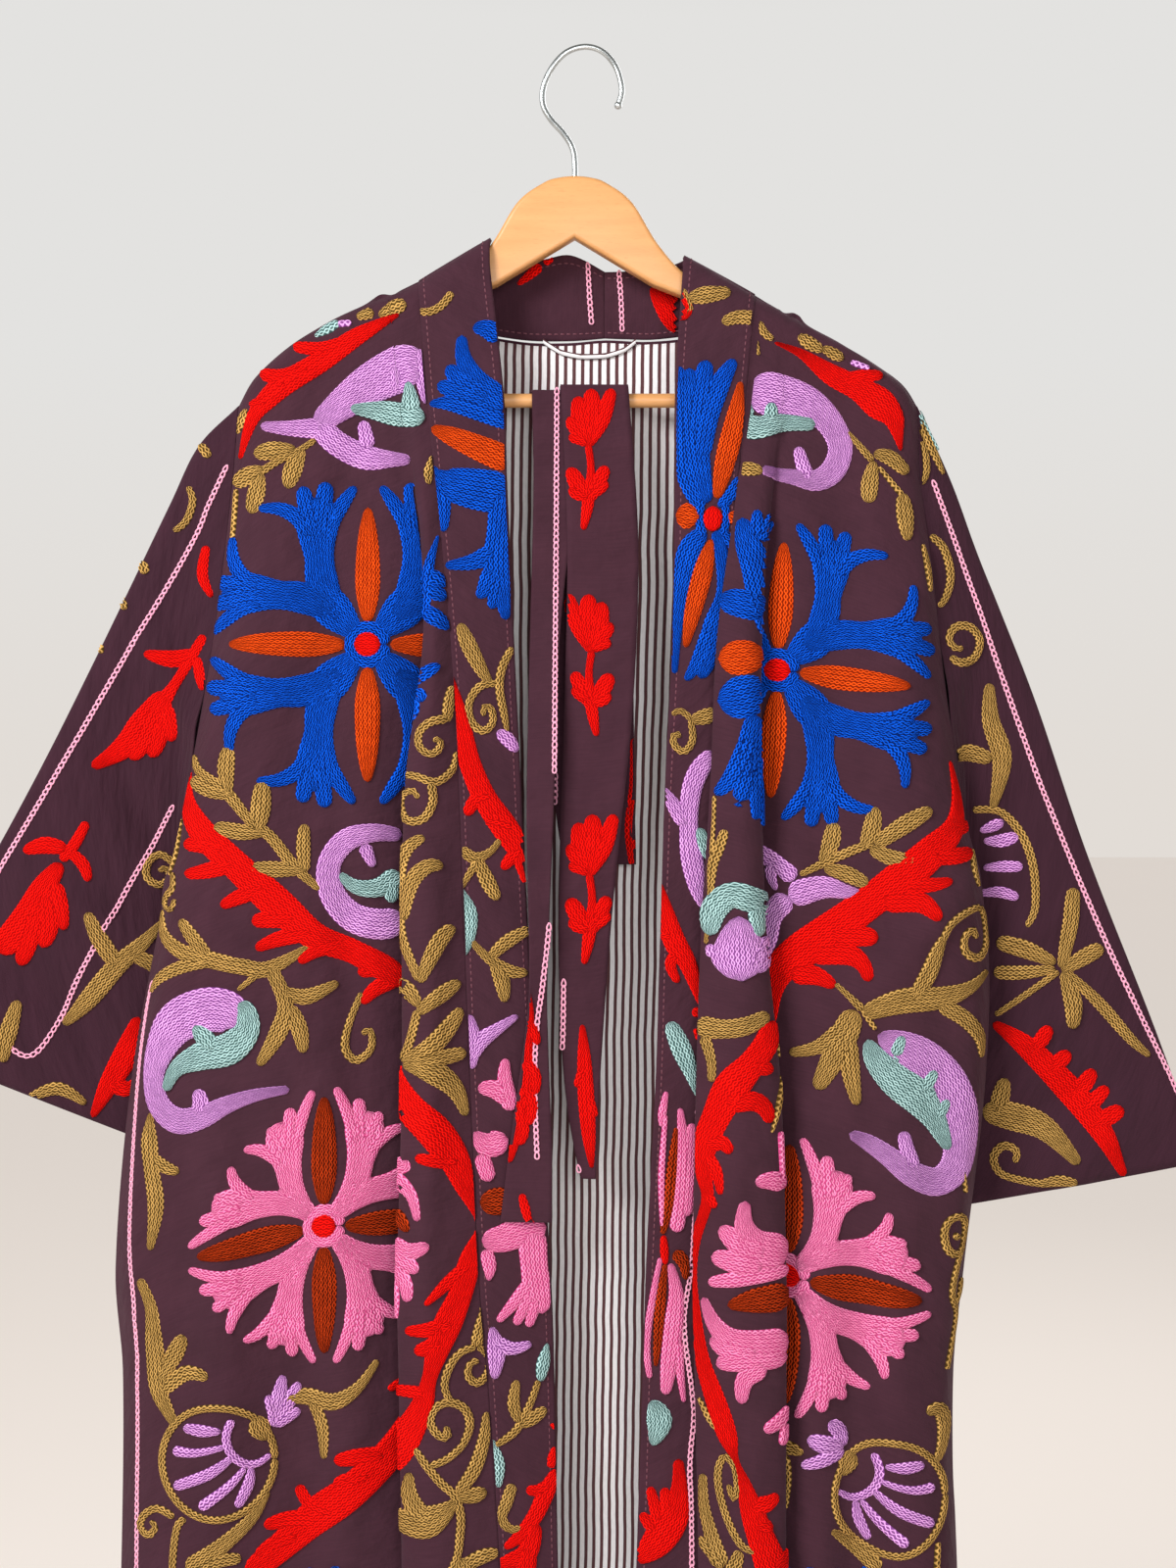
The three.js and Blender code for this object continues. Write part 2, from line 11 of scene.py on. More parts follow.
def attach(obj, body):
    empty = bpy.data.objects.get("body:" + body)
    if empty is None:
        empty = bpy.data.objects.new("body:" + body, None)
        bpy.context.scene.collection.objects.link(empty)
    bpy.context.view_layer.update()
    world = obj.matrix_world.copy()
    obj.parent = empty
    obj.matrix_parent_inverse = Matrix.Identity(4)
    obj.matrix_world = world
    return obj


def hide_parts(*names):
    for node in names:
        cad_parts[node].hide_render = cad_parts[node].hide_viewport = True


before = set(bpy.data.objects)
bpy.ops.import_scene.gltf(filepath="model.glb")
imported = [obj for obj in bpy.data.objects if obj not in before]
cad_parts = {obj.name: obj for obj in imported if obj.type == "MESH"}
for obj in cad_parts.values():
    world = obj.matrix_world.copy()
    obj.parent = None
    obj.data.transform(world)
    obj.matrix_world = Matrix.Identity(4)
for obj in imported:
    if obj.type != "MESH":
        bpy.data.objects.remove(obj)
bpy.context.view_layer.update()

MM = 0.001

# The room: a pale studio floor well below the hem and an even pale surround, lit by one large
# soft light from the upper left and a weaker one from the front, as in a small studio.


def linear(hex_colour):
    channels = [int(hex_colour[i:i + 2], 16) / 255 for i in (1, 3, 5)]
    return [c / 12.92 if c <= 0.04045 else ((c + 0.055) / 1.055) ** 2.4 for c in channels] + [1.0]


def add(tree, kind, inputs=None, **settings):
    made = tree.nodes.new(kind)
    for name, value in settings.items():
        setattr(made, name, value)
    for key, value in (inputs or {}).items():
        if isinstance(value, bpy.types.NodeSocket):
            tree.links.new(value, made.inputs[key])
        else:
            made.inputs[key].default_value = value
    return made


def calc(tree, operation, a, b=0.0, c=0.0):
    return add(tree, "ShaderNodeMath", {0: a, 1: b, 2: c}, operation=operation).outputs[0]


def blend_colour(tree, factor, first, second):
    """Two colours mixed by a factor, each a hex number or the output of another node."""
    first, second = (linear(tone) if isinstance(tone, str) else tone for tone in (first, second))
    return add(tree, "ShaderNodeMix", {0: factor, 6: first, 7: second}, data_type="RGBA").outputs[2]


def noise(tree, where, scale, detail):
    inputs = {"Vector": where, "Scale": scale, "Detail": detail}
    return add(tree, "ShaderNodeTexNoise", inputs).outputs["Fac"]


def colour_by(tree, shader, factor, first, second):
    tree.links.new(blend_colour(tree, factor, first, second), shader.inputs["Base Color"])


def relief_by(tree, shader, height, strength, distance):
    bump = add(tree, "ShaderNodeBump", {"Height": height, "Strength": strength, "Distance": distance})
    tree.links.new(bump.outputs[0], shader.inputs["Normal"])


def new_material(name, roughness, **values):
    made = bpy.data.materials.new(name)
    made.use_nodes = True
    shader = made.node_tree.nodes["Principled BSDF"]
    shader.inputs["Roughness"].default_value = roughness
    for key, value in values.items():
        shader.inputs[key.replace("_", " ")].default_value = value
    return made, made.node_tree, shader


def placed(name, data, finishes):
    """Puts a mesh into the scene, smooth all over, with its finishes."""
    data.polygons.foreach_set("use_smooth", [True] * len(data.polygons))
    for finish in finishes:
        data.materials.append(finish)
    made = bpy.data.objects.new(name, data)
    bpy.context.collection.objects.link(made)
    return made


def mesh_object(name, points, faces, finish):
    data = bpy.data.meshes.new(name)
    data.from_pydata([tuple(p) for p in points], [], [tuple(int(i) for i in f) for f in faces])
    data.validate()
    return placed(name, data, [finish])


scene = bpy.context.scene
floor_finish, tree, shader = new_material("matt pale studio vinyl", 0.8, Emission_Strength=0.57)
grain = add(tree, "ShaderNodeTexNoise", {"Scale": 9.0})
colour_by(tree, shader, grain.outputs["Fac"], "#AEA7A1", "#B4ADA7")
shader.inputs["Emission Color"].default_value = linear("#F0E6DE")
floor_half = 30.0
floor_z = -1.62
floor = mesh_object("floor", [(-floor_half, -floor_half, floor_z), (floor_half, -floor_half, floor_z),
                              (floor_half, floor_half, floor_z), (-floor_half, floor_half, floor_z)],
                    [(0, 1, 2, 3)], floor_finish)
surround = bpy.data.worlds.new("pale studio surround")
surround.use_nodes = True
scene.world = surround
tree = surround.node_tree
backdrop = tree.nodes["Background"]
direction = add(tree, "ShaderNodeTexCoord").outputs["Generated"]
split = add(tree, "ShaderNodeSeparateXYZ", {0: direction})
upward, forward, rise = (
    add(tree, "ShaderNodeMapRange", {0: split.outputs[way], 1: low, 2: high, 3: 0.0, 4: 1.0}).outputs[0]
    for way, low, high in ((2, 0.35, 0.85), (1, -0.1, -0.6), (2, 0.0, 0.2)))
wall_tone = blend_colour(tree, rise, "#E2DCD6", "#E3E2E0")
wall_tone = blend_colour(tree, forward, wall_tone, "#A5A3A0")
tree.links.new(blend_colour(tree, upward, wall_tone, "#8A8884"), backdrop.inputs["Color"])
backdrop.inputs["Strength"].default_value = 1.0
for name, place, aim, side, power in (
        ("soft key light", (-1.7, -2.1, 0.8), (0.0, 0.0, -0.6), 1.1, 105.0),
        ("front fill light", (0.5, -2.9, -0.1), (0.0, 0.0, -0.7), 1.4, 38.0),
        ("rear light", (1.2, 2.4, 1.0), (0.0, 0.0, -0.6), 1.5, 30.0)):
    lamp = bpy.data.lights.new(name, "AREA")
    lamp.energy = power
    lamp.size = side
    made = bpy.data.objects.new(name, lamp)
    bpy.context.collection.objects.link(made)
    made.location = place
    made.rotation_mode = "QUATERNION"
    made.rotation_quaternion = (Vector(aim) - Vector(place)).to_track_quat("-Z", "Y")
scene.view_settings.view_transform = "Standard"
camera_data = bpy.data.cameras.new("camera")
camera_data.lens = 47.2
camera_data.sensor_width = 36.0
camera_data.clip_start = 0.05
camera_data.clip_end = 60
camera = bpy.data.objects.new("camera", camera_data)
camera.location = (0.002, -1.4, -0.5)
camera.rotation_euler = (math.pi / 2, 0, 0)
bpy.context.collection.objects.link(camera)
scene.camera = camera

# The hanger's bow: one board of beech, sawn to a shallow arch, its edges rounded over with a
# cutter, sanded and dipped in clear satin varnish. The dowel bar is glued into the arms.


def read(table, column, key, at):
    """Smooth reading of one column of a table against another."""
    keys, values = np.array(table[key], float), np.array(table[column], float)
    if keys[0] > keys[-1]:
        keys, values = keys[::-1], values[::-1]
    slopes = np.empty_like(values)
    slopes[1:-1] = (values[2:] - values[:-2]) / (keys[2:] - keys[:-2])
    slopes[0] = (values[1] - values[0]) / (keys[1] - keys[0])
    slopes[-1] = (values[-1] - values[-2]) / (keys[-1] - keys[-2])
    at = np.clip(at, keys[0], keys[-1])
    i = np.clip(np.searchsorted(keys, at, side="right") - 1, 0, len(keys) - 2)
    span = keys[i + 1] - keys[i]
    t = (at - keys[i]) / span
    return (values[i] * (2 * t**3 - 3 * t**2 + 1) + slopes[i] * span * (t**3 - 2 * t**2 + t)
            + values[i + 1] * (3 * t**2 - 2 * t**3) + slopes[i + 1] * span * (t**3 - t**2))


def through(points, steps):
    """A smooth curve through points, with so many steps between two of them."""
    points = np.asarray(points, float)
    last = len(points) - 1
    index = np.linspace(0, last, last * steps + 1)
    i = np.clip(index.astype(int), 0, last - 1)
    t = (index - i).reshape((-1,) + (1,) * (points.ndim - 1))
    a, b, c, d = (points[np.clip(i + k, 0, last)] for k in (-1, 0, 1, 2))
    return 0.5 * (2 * b + (c - a) * t + (2 * a - 5 * b + 4 * c - d) * t**2
                  + (3 * b - a - 3 * c + d) * t**3)


beech, tree, shader = new_material("satin-varnished sanded beech", 0.36, IOR=1.5)
# Long faint growth lines along the board with short darker flecks, and a soft varnish sheen.
place = add(tree, "ShaderNodeTexCoord").outputs["Object"]
along = add(tree, "ShaderNodeMapping", {"Vector": place, "Scale": (9.0, 60.0, 90.0)})
growth = noise(tree, along.outputs[0], 1.6, 5.0)
flecks = add(tree, "ShaderNodeMapping", {"Vector": place, "Scale": (160.0, 900.0, 1500.0)})
fleck = noise(tree, flecks.outputs[0], 1.0, 2.0)
fleck_amount = add(tree, "ShaderNodeMapRange", {0: fleck, 1: 0.58, 2: 0.78, 4: 0.35}).outputs[0]
wood_colour = blend_colour(tree, growth, "#B97D46", "#CF9A62")
colour_by(tree, shader, fleck_amount, wood_colour, "#98602F")
relief_by(tree, shader, growth, 0.12, 0.0005)
hanger_middle_x = -7
bow = {
    "top_reach": [0, 10, 20, 39, 56, 75, 107, 161, 192, 206, 213],
    "top_z": [-87, -88, -91, -105, -132.5, -153.5, -168.8, -196, -213, -226, -236],
    "under_reach": [0, 53, 81, 107, 161, 180, 190, 200, 210],
    "under_z": [-129, -161, -172, -184, -213, -228, -245, -250, -247],
}
reach = np.linspace(0, bow["top_reach"][-1], 80)
upper = np.column_stack([reach, read(bow, "top_z", "top_reach", reach)])
lower = np.column_stack([bow["under_reach"], bow["under_z"]])[::-1]
half_outline = np.vstack([upper, lower])
outline = np.vstack([half_outline, (half_outline * (-1, 1))[1:-1][::-1]])
half_depth = 6.5
front_ring = [((x + hanger_middle_x) * MM, -half_depth * MM, z * MM) for x, z in outline]
back_ring = [(x, -y, z) for x, y, z in front_ring]
count = len(outline)
bow_faces = [tuple(range(count)), tuple(range(2 * count - 1, count - 1, -1))]
bow_faces += [(i, count + i, count + (i + 1) % count, (i + 1) % count) for i in range(count)]
wood = mesh_object("hanger_bow", front_ring + back_ring, bow_faces, beech)
edit = bmesh.new()
edit.from_mesh(wood.data)
bmesh.ops.recalc_face_normals(edit, faces=edit.faces)
rim = [e for e in edit.edges if abs(e.verts[0].co.y - e.verts[1].co.y) < 1e-6]
bmesh.ops.bevel(edit, geom=rim, offset=3.0 * MM, segments=5, profile=0.5, affect="EDGES")
bmesh.ops.triangulate(edit, faces=[f for f in edit.faces if len(f.verts) > 4])
edit.to_mesh(wood.data)
edit.free()
wood.data.polygons.foreach_set("use_smooth", [True] * len(wood.data.polygons))
wood.data.set_sharp_from_angle(angle=math.radians(35))
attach(wood, "root")
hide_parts("hanger_wood")


def tube(name, points, radius, sides, finish):
    """A round rod along a line of points."""
    points = np.asarray(points, float)
    tangent = np.gradient(points, axis=0)
    tangent /= np.linalg.norm(tangent, axis=1)[:, None]
    guide = np.array([0.0, 1.0, 0.0]) if abs(tangent[:, 1]).max() < 0.9 else np.array([0.0, 0.0, 1.0])
    side = np.cross(guide, tangent)
    side /= np.linalg.norm(side, axis=1)[:, None]
    rise = np.cross(tangent, side)
    angle = np.linspace(0, 2 * math.pi, sides, endpoint=False)
    ring = (points[:, None] + radius * (np.cos(angle)[None, :, None] * side[:, None]
                                        + np.sin(angle)[None, :, None] * rise[:, None]))
    rows = len(points)
    faces = [(i * sides + k, i * sides + (k + 1) % sides, (i + 1) * sides + (k + 1) % sides,
              (i + 1) * sides + k) for i in range(rows - 1) for k in range(sides)]
    faces += [tuple(range(sides))[::-1], tuple(range((rows - 1) * sides, rows * sides))]
    return mesh_object(name, ring.reshape(-1, 3) * MM, faces, finish)


bar_reach, bar_z, bar_radius = 201, -239, 4.8
bar_line = [(hanger_middle_x + x, 0, bar_z) for x in np.linspace(-bar_reach, bar_reach, 12)]
bar = tube("hanger_dowel", bar_line, bar_radius, 48, beech)
bar.data.set_sharp_from_angle(angle=math.radians(40))
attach(bar, "root")
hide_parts("hanger_bar")

# The hook: 4 mm steel wire, bent cold to an open loop, its tip upset to a small round ball, and
# bright zinc plated. Its foot is driven into the top of the bow.
zinc, tree, shader = new_material("bright zinc-plated drawn wire", 0.2, Metallic=1.0)
# Draw marks along the wire and faint cloudy plating make its highlights a little uneven.
place = add(tree, "ShaderNodeTexCoord").outputs["Object"]
cloud = noise(tree, place, 160.0, 3.0)
colour_by(tree, shader, cloud, "#AEB4B6", "#D2D6D6")
tree.links.new(add(tree, "ShaderNodeMapRange", {0: cloud, 3: 0.14, 4: 0.3}).outputs[0],
               shader.inputs["Roughness"])
wire_x = [22.5, 25, 21, 12, 0, -13, -23, -28.5, -28.5, -23, -14.5, -8.8, -7, -7]
wire_z = [-38, -27, -12, -1.5, 2, -2, -13, -26, -38, -48, -57.5, -67, -78, -104]
wire = tube("hanger_wire_hook", through([(x, 0, z) for x, z in zip(wire_x, wire_z)], 12), 2.0, 24, zinc)
edit = bmesh.new()
edit.from_mesh(wire.data)
bmesh.ops.create_uvsphere(edit, u_segments=24, v_segments=16, radius=2.7 * MM)
for vertex in edit.verts[-(24 * 15 + 2):]:
    vertex.co += Vector((wire_x[0], 0, wire_z[0])) * MM
edit.to_mesh(wire.data)
edit.free()
wire.data.polygons.foreach_set("use_smooth", [True] * len(wire.data.polygons))
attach(wire, "root")
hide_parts("hanger_hook")

# The back: one length of plum-brown cotton from the shoulder seams to the hem, turned over the
# hanger's arms. It hangs in long soft waves and is sewn to the fronts along both sides.
hem_z = -1360
reference_top = -165
seam_half_gap = 0.15
cloth_thick = 1.3
left_arm, right_arm = (-243, -500), (-243, -490)
shoulder = {
    "x": [-235, -218, -168, -113.5, -64, -30, 30, 67, 117, 159, 189, 219, 225],
    "z": [-243, -217, -183, -160, -129, -127, -129, -141, -170, -193, -210, -233, -243],
}
neckline = {
    "x": [-113.5, -85, -45, -12, 14, 45, 80, 117],
    "z": [-160, -184, -194, -195, -193, -194, -189, -170],
}
left_front = {
    "z": [-150, -243, -300, -400, -500, -600, -700, -830, -900, -1030, -1200, -1360],
    "side": [-233, -235, -239, -251, -269, -290, -308, -319, -314, -315, -319, -323],
    "pleat": [-135, -124, -114, -108, -119, -121, -121, -124, -123, -121, -119, -118],
    "seam": [-113.5, -106, -100, -90, -84, -80, -76, -70, -64, -56, -50, -44],
    "free": [-64, -55, -53.5, -48.5, -42.5, -37, -32, -24, -21.5, -17.5, -13, -10],
    "develop": [0, 0.1, 0.25, 0.7, 1, 1, 1, 1, 0.95, 0.9, 0.85, 0.8],
    "body": [12, 16, 20, 25, 28, 30, 31, 31, 30, 29, 28, 27],
    "seam_out": [12.5, 17, 22, 29, 34, 36, 37, 37, 36, 35, 33, 31],
    "free_out": [12, 16, 18, 22, 25, 26, 27, 27, 27, 26, 26, 25],
}
right_front = {
    "z": left_front["z"],
    "side": [214, 225, 227, 239, 254, 273, 272, 257, 250, 251, 256, 262],
    "pleat": [140, 132, 126, 118, 117, 120, 129, 133, 133, 133, 134, 135],
    "turn": [121, 112, 104, 89, 84, 78, 75, 73, 74.5, 77, 79, 80],
    "seam": [117, 108, 103, 98, 94, 88, 85, 83, 84, 86, 87, 88],
    "free": [67, 61.5, 61, 58, 52.5, 50, 48, 41, 38, 33, 31, 29],
    "develop": [0, 0.1, 0.3, 0.8, 1, 1, 1, 1, 1, 0.95, 0.9, 0.85],
    "body": left_front["body"],
    "seam_out": [12.5, 17, 19, 21, 22, 22, 22, 22, 22, 22, 22, 22],
    "free_out": left_front["free_out"],
}


def ease(low, high, value):
    t = np.clip((value - low) / (high - low), 0, 1)
    return t * t * (3 - 2 * t)


def over_arm(drop):
    return np.sqrt(1 - (1 - np.clip(drop / 14, 0, 1)) ** 2)


def side_half(z, arm):
    w = np.clip((arm[0] - z) / (arm[0] - arm[1]), 0, 1)
    return np.maximum(cloth_thick / 2 + 0.05, 7 * np.sqrt(np.maximum(0, 1 - (1 - 2 * w) ** 2)) ** 0.7)


def stretched(top, drop):
    return top - drop * (top - hem_z) / (reference_top - hem_z)


drops = np.concatenate([[0, 0.5, 1.5, 3, 5, 8, 11, 15, 19], np.linspace(24, 1195, 150)])


def back_depth(x, z):
    left, right = read(left_front, "side", "z", z), read(right_front, "side", "z", z)
    share = np.clip((x - left) / (right - left), 0, 1)
    edge = np.where(share < 0.5, side_half(z, left_arm), side_half(z, right_arm))
    off_centre = np.abs(2 * share - 1)
    rise = 1 - off_centre ** (16 - 11 * ease(-250, -480, z))
    waves = 4 * np.sin(share * 26 + z / 260) * ease(-230, -520, z) * rise
    turn = over_arm(read(shoulder, "z", "x", x) - z)
    rim = seam_half_gap + (edge - seam_half_gap) * np.maximum(turn, off_centre**30)
    return rim + ((23 - edge) * rise + waves) * turn


def back_grid(columns, inset, forward, neck_drop, arm_drop, rows):
    t = np.linspace(0, 1, columns + 1)
    share = 0.3 * t + 0.7 * (0.5 - 0.5 * np.cos(np.pi * t))
    top_x = left_front["side"][1] + share * (right_front["side"][1] - left_front["side"][1])
    in_neck = (top_x > neckline["x"][0]) & (top_x < neckline["x"][-1])
    arm_top = read(shoulder, "z", "x", top_x) - arm_drop
    top = np.where(in_neck, np.minimum(arm_top, read(neckline, "z", "x", top_x) - neck_drop), arm_top)
    z = top - rows[:, None] * (top - hem_z - inset) / (reference_top - hem_z)
    left = read(left_front, "side", "z", z) + inset
    right = read(right_front, "side", "z", z) - inset
    settle = 1 - ease(-300, -170, z)
    x = np.clip(top_x * (1 - settle) + (left + share * (right - left)) * settle, left, right)
    return np.stack([x, back_depth(x, z) - forward, z], axis=-1)


def normals_of(grid, joined=False):
    if joined:
        wide = np.concatenate([grid[:, -1:], grid, grid[:, :1]], axis=1)
        across = wide[:, 2:] - wide[:, :-2]
    else:
        across = np.gradient(grid, axis=1)
    normal = np.cross(np.gradient(grid, axis=0), across)
    return normal / np.maximum(np.linalg.norm(normal, axis=-1, keepdims=True), 1e-9)


def grid_numbers(grid, joined=False):
    """The numbers of a grid's points; a joined grid's first column comes again at its end."""
    rows, columns = grid.shape[:2]
    index = np.arange(rows * columns).reshape(rows, columns)
    return np.concatenate([index, index[:, :1]], axis=1) if joined else index


def quads_of(index):
    return np.stack([index[:-1, :-1], index[:-1, 1:], index[1:, 1:], index[1:, :-1]], -1).reshape(-1, 4)


def corner_map(made, name, values):
    """Writes one pair of values for each point of a piece as a UV map."""
    corners = np.empty(len(made.data.loops), int)
    made.data.loops.foreach_get("vertex_index", corners)
    made.data.uv_layers.new(name=name).data.foreach_set("uv", values[corners].ravel())


def distance_along(line):
    return np.concatenate([[0], np.cumsum(np.linalg.norm(np.diff(line, axis=0), axis=1))])


def shell(name, grid, thick, finish, joined=False):
    """A thin shell about a grid of points, with its flat cut in millimetres as a UV map."""
    rows, columns = grid.shape[:2]
    normal = normals_of(grid, joined)
    points = np.concatenate([(grid + normal * thick / 2).reshape(-1, 3),
                             (grid - normal * thick / 2).reshape(-1, 3)]) * MM
    shift = rows * columns
    index = grid_numbers(grid, joined)
    quads = [quads_of(index)[:, [0, 3, 2, 1]], quads_of(index) + shift]
    top, foot = index[0], index[-1]
    quads.append(np.stack([top[:-1], top[1:], top[1:] + shift, top[:-1] + shift], -1))
    quads.append(np.stack([foot[1:], foot[:-1], foot[:-1] + shift, foot[1:] + shift], -1))
    if not joined:
        first, last = index[:, 0], index[:, -1]
        quads.append(np.stack([first[1:], first[:-1], first[:-1] + shift, first[1:] + shift], -1))
        quads.append(np.stack([last[:-1], last[1:], last[1:] + shift, last[:-1] + shift], -1))
    made = mesh_object(name, points, np.concatenate(quads), finish)
    width = np.linalg.norm(np.diff(grid, axis=1), axis=-1)
    length = np.linalg.norm(np.diff(grid, axis=0), axis=-1)
    across = np.concatenate([np.zeros((rows, 1)), np.cumsum(width, 1)], 1)
    down = np.concatenate([np.zeros((1, columns)), np.cumsum(length, 0)], 0)
    cut = np.stack([across - across[:, columns // 2:columns // 2 + 1], down], -1).reshape(-1, 2)
    corner_map(made, "cut", np.concatenate([cut, cut]))
    return made


def ripple(grid, marks, joined=False):
    """Soft troughs and ridges, given one by one: from (x, z) to (x, z), how far out, how wide."""
    moved = grid.copy()
    normal = normals_of(grid, joined)
    facing = np.where(normal[..., 1:2] > 0, -1.0, 1.0) * normal
    for x0, z0, x1, z1, out, wide in marks:
        line = np.array([x1 - x0, z1 - z0], float)
        rel = grid[..., (0, 2)] - (x0, z0)
        t = np.clip((rel @ line) / (line @ line), 0, 1)
        away = np.linalg.norm(rel - t[..., None] * line, axis=-1)
        fade = np.sin(np.pi * (0.1 + 0.8 * t))
        moved += facing * (out * fade * np.exp(-(away / wide) ** 2))[..., None]
    return moved


def cotton(name, lit, dim):
    """Matt plain-weave cotton: fine threads both ways, drawn 1.1 mm apart because the real 0.4 mm
    would be finer than a render can hold, uneven slubs, and a little dusty sheen at the edges."""
    made, tree, shader = new_material(name, 0.9, IOR=1.46, Sheen_Weight=0.1, Sheen_Roughness=0.5)
    shader.inputs["Sheen Tint"].default_value = linear("#C9A8B4")
    shader.inputs["Specular IOR Level"].default_value = 0.16
    cut = add(tree, "ShaderNodeUVMap", uv_map="cut").outputs[0]
    cross = add(tree, "ShaderNodeSeparateXYZ", {0: cut})
    thread_pitch = 1.1
    warp = calc(tree, "SINE", calc(tree, "MULTIPLY", cross.outputs[0], 2 * math.pi / thread_pitch))
    weft = calc(tree, "SINE", calc(tree, "MULTIPLY", cross.outputs[1], 2 * math.pi / thread_pitch))
    weave = calc(tree, "MULTIPLY", warp, weft)
    wide = add(tree, "ShaderNodeMapping", {"Vector": cut, "Scale": (0.05, 0.9, 1.0)})
    slubs = noise(tree, wide.outputs[0], 1.0, 4.0)
    broad = noise(tree, cut, 0.035, 3.0)
    tone = calc(tree, "MULTIPLY", calc(tree, "ADD", slubs, broad), 0.5)
    tone = calc(tree, "ADD", tone, calc(tree, "MULTIPLY", weave, 0.06))
    colour_by(tree, shader, tone, dim, lit)
    pucker = noise(tree, cut, 0.06, 4.0)
    relief = calc(tree, "ADD", calc(tree, "MULTIPLY", weave, 0.05),
                  calc(tree, "ADD", calc(tree, "MULTIPLY", pucker, 3.4),
                       calc(tree, "MULTIPLY", slubs, 0.12)))
    relief_by(tree, shader, relief, 0.8, 0.001)
    return made


plum = cotton("plum-brown plain-weave cotton", "#462632", "#28131C")


def cloth_piece(made, node_name):
    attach(made, "root")
    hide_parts(node_name)
    return made


# Out is towards the front, so a ridge on the rear has a minus sign.
back_marks = [
    (-150, -300, -175, -900, 3, 22), (-60, -420, -85, -1250, -8, 26), (40, -330, 30, -1000, 3, 18),
    (120, -520, 150, -1300, -8, 24), (200, -420, 205, -1100, 3, 18), (-235, -640, -225, -1300, -5, 20),
    (-190, -230, -60, -330, -3, 14), (170, -240, 70, -340, -3, 14), (-10, -900, -20, -1340, -6.4, 20),
]
lining_marks = [
    (20, -640, 14, -1100, 4, 16), (-20, -700, -28, -1200, -4, 14), (60, -600, 64, -1200, -3, 14),
    (-60, -655, 80, -664, -1.2, 3), (-60, -650, 80, -659, 1.0, 3), (30, -345, 62, -347, 0.8, 3),
    (-120, -350, -130, -1200, 4, 20), (130, -420, 140, -1200, 4, 20), (-200, -500, -205, -1200, -4, 20),
    (-40, -230, -45, -330, 1.0, 9), (25, -225, 45, -330, 1.2, 9),
]
lining_forward, layer_gap, soft_contact = 2.6, 1.7, 1.2
back_flat = back_grid(100, 0, 0, 0, 0, drops)
back_surface = ripple(back_flat, back_marks)
# The back hangs behind its lining: where their waves would meet, the back is pushed out softly.
spare = back_surface[..., 1] - (ripple(back_flat, lining_marks)[..., 1] - lining_forward + layer_gap)
back_surface[..., 1] += 0.5 * (np.sqrt(spare**2 + soft_contact**2) - spare)
cloth_piece(shell("back_panel", back_surface, cloth_thick, plum), "back")

# The two fronts: one length of the same cotton each, from the shoulder seam to the hem. Each
# stands out in one long upright pleat beside the neckband, as the heavy band pulls it forward.


def front_lines(front, hand, arm, rows, lap=0.0):
    lines = []

    def reader(column):
        return lambda z: read(front, column, "z", z)
    side, pleat, seam, develop, body = (reader(c) for c in ("side", "pleat", "seam", "develop", "body"))

    def line(place, shift, depth):
        top = read(shoulder, "z", "x", place(np.array(-200.0)))
        z = stretched(top, rows)
        x = place(z) + shift(z)
        turn = over_arm(read(shoulder, "z", "x", x) - z)
        lines.append(np.stack([x, -(seam_half_gap + (depth(z) - seam_half_gap) * turn), z], -1))

    def between(share):
        return lambda z: side(z) + share * (pleat(z) - side(z))

    def wave(z, phase):
        return 3.2 * np.sin(z / 95 + phase) * (1 - ease(-420, -240, z))
    still = lambda z: 0 * z
    z_side = stretched(arm[0], rows)
    lines.append(np.stack([side(z_side), -side_half(z_side, arm), z_side], -1))
    line(between(0.1), still, lambda z: body(z) * 0.62 + 3)
    line(between(0.32), still, lambda z: body(z) + wave(z, 0.4 * hand))
    line(between(0.58), still, lambda z: body(z) * 0.9 + wave(z, 2.3))
    line(between(0.82), still, lambda z: body(z) * 0.92 + wave(z, 4.1) * 0.6)
    line(pleat, lambda z: -hand * (16 * develop(z) - 7), lambda z: body(z) * (1 - 0.6 * develop(z)))
    line(pleat, lambda z: -hand * 2 * (1 - develop(z)), lambda z: body(z) + 5 * develop(z))
    if "turn" in front:
        turned = reader("turn")
        line(lambda z: 0.62 * pleat(z) + 0.38 * turned(z), still, lambda z: body(z) + 17 * develop(z))
        line(turned, still, lambda z: body(z) + 7 * develop(z))
    else:
        line(lambda z: 0.6 * pleat(z) + 0.4 * seam(z), still, lambda z: body(z) + 16 * develop(z))
    line(lambda z: seam(z) + hand * seam_half_gap / 2, still,
         lambda z: read(front, "seam_out", "z", z) + lap * np.minimum(1, 3 * develop(z)))
    return np.array(lines)


line_steps = 14
front_marks = {"left": [(-290, -560, -205, -640, 6.4, 12), (-215, -330, -235, -470, 4.8, 14),
    (-150, -210, -190, -330, 3.2, 12), (-165, -520, -150, -760, -5.6, 14),
    (-250, -700, -235, -980, 5.6, 18), (-190, -800, -180, -1100, -4.8, 16),
    (-300, -860, -150, -868, 3.5, 7), (-305, -885, -170, -893, -2.9, 6), (-296, -905, -190, -915, 2.6, 6),
    (-100, -560, -106, -900, 3.2, 8), (-285, -1050, -270, -1330, 6.4, 20),
    (-150, -1000, -160, -1340, -6.4, 20)], "right": [(262, -560, 190, -640, 6.4, 13),
    (225, -320, 215, -470, 4, 14), (175, -250, 190, -420, -3.2, 14), (160, -470, 150, -720, -4.8, 14),
    (215, -640, 205, -960, 5.6, 18), (245, -780, 150, -800, 3.2, 8), (235, -830, 170, -842, -2.9, 7),
    (100, -600, 98, -900, 3.2, 9), (180, -880, 190, -1200, -6.4, 18), (235, -1000, 225, -1340, 6.4, 20)],
    }
fronts = {}
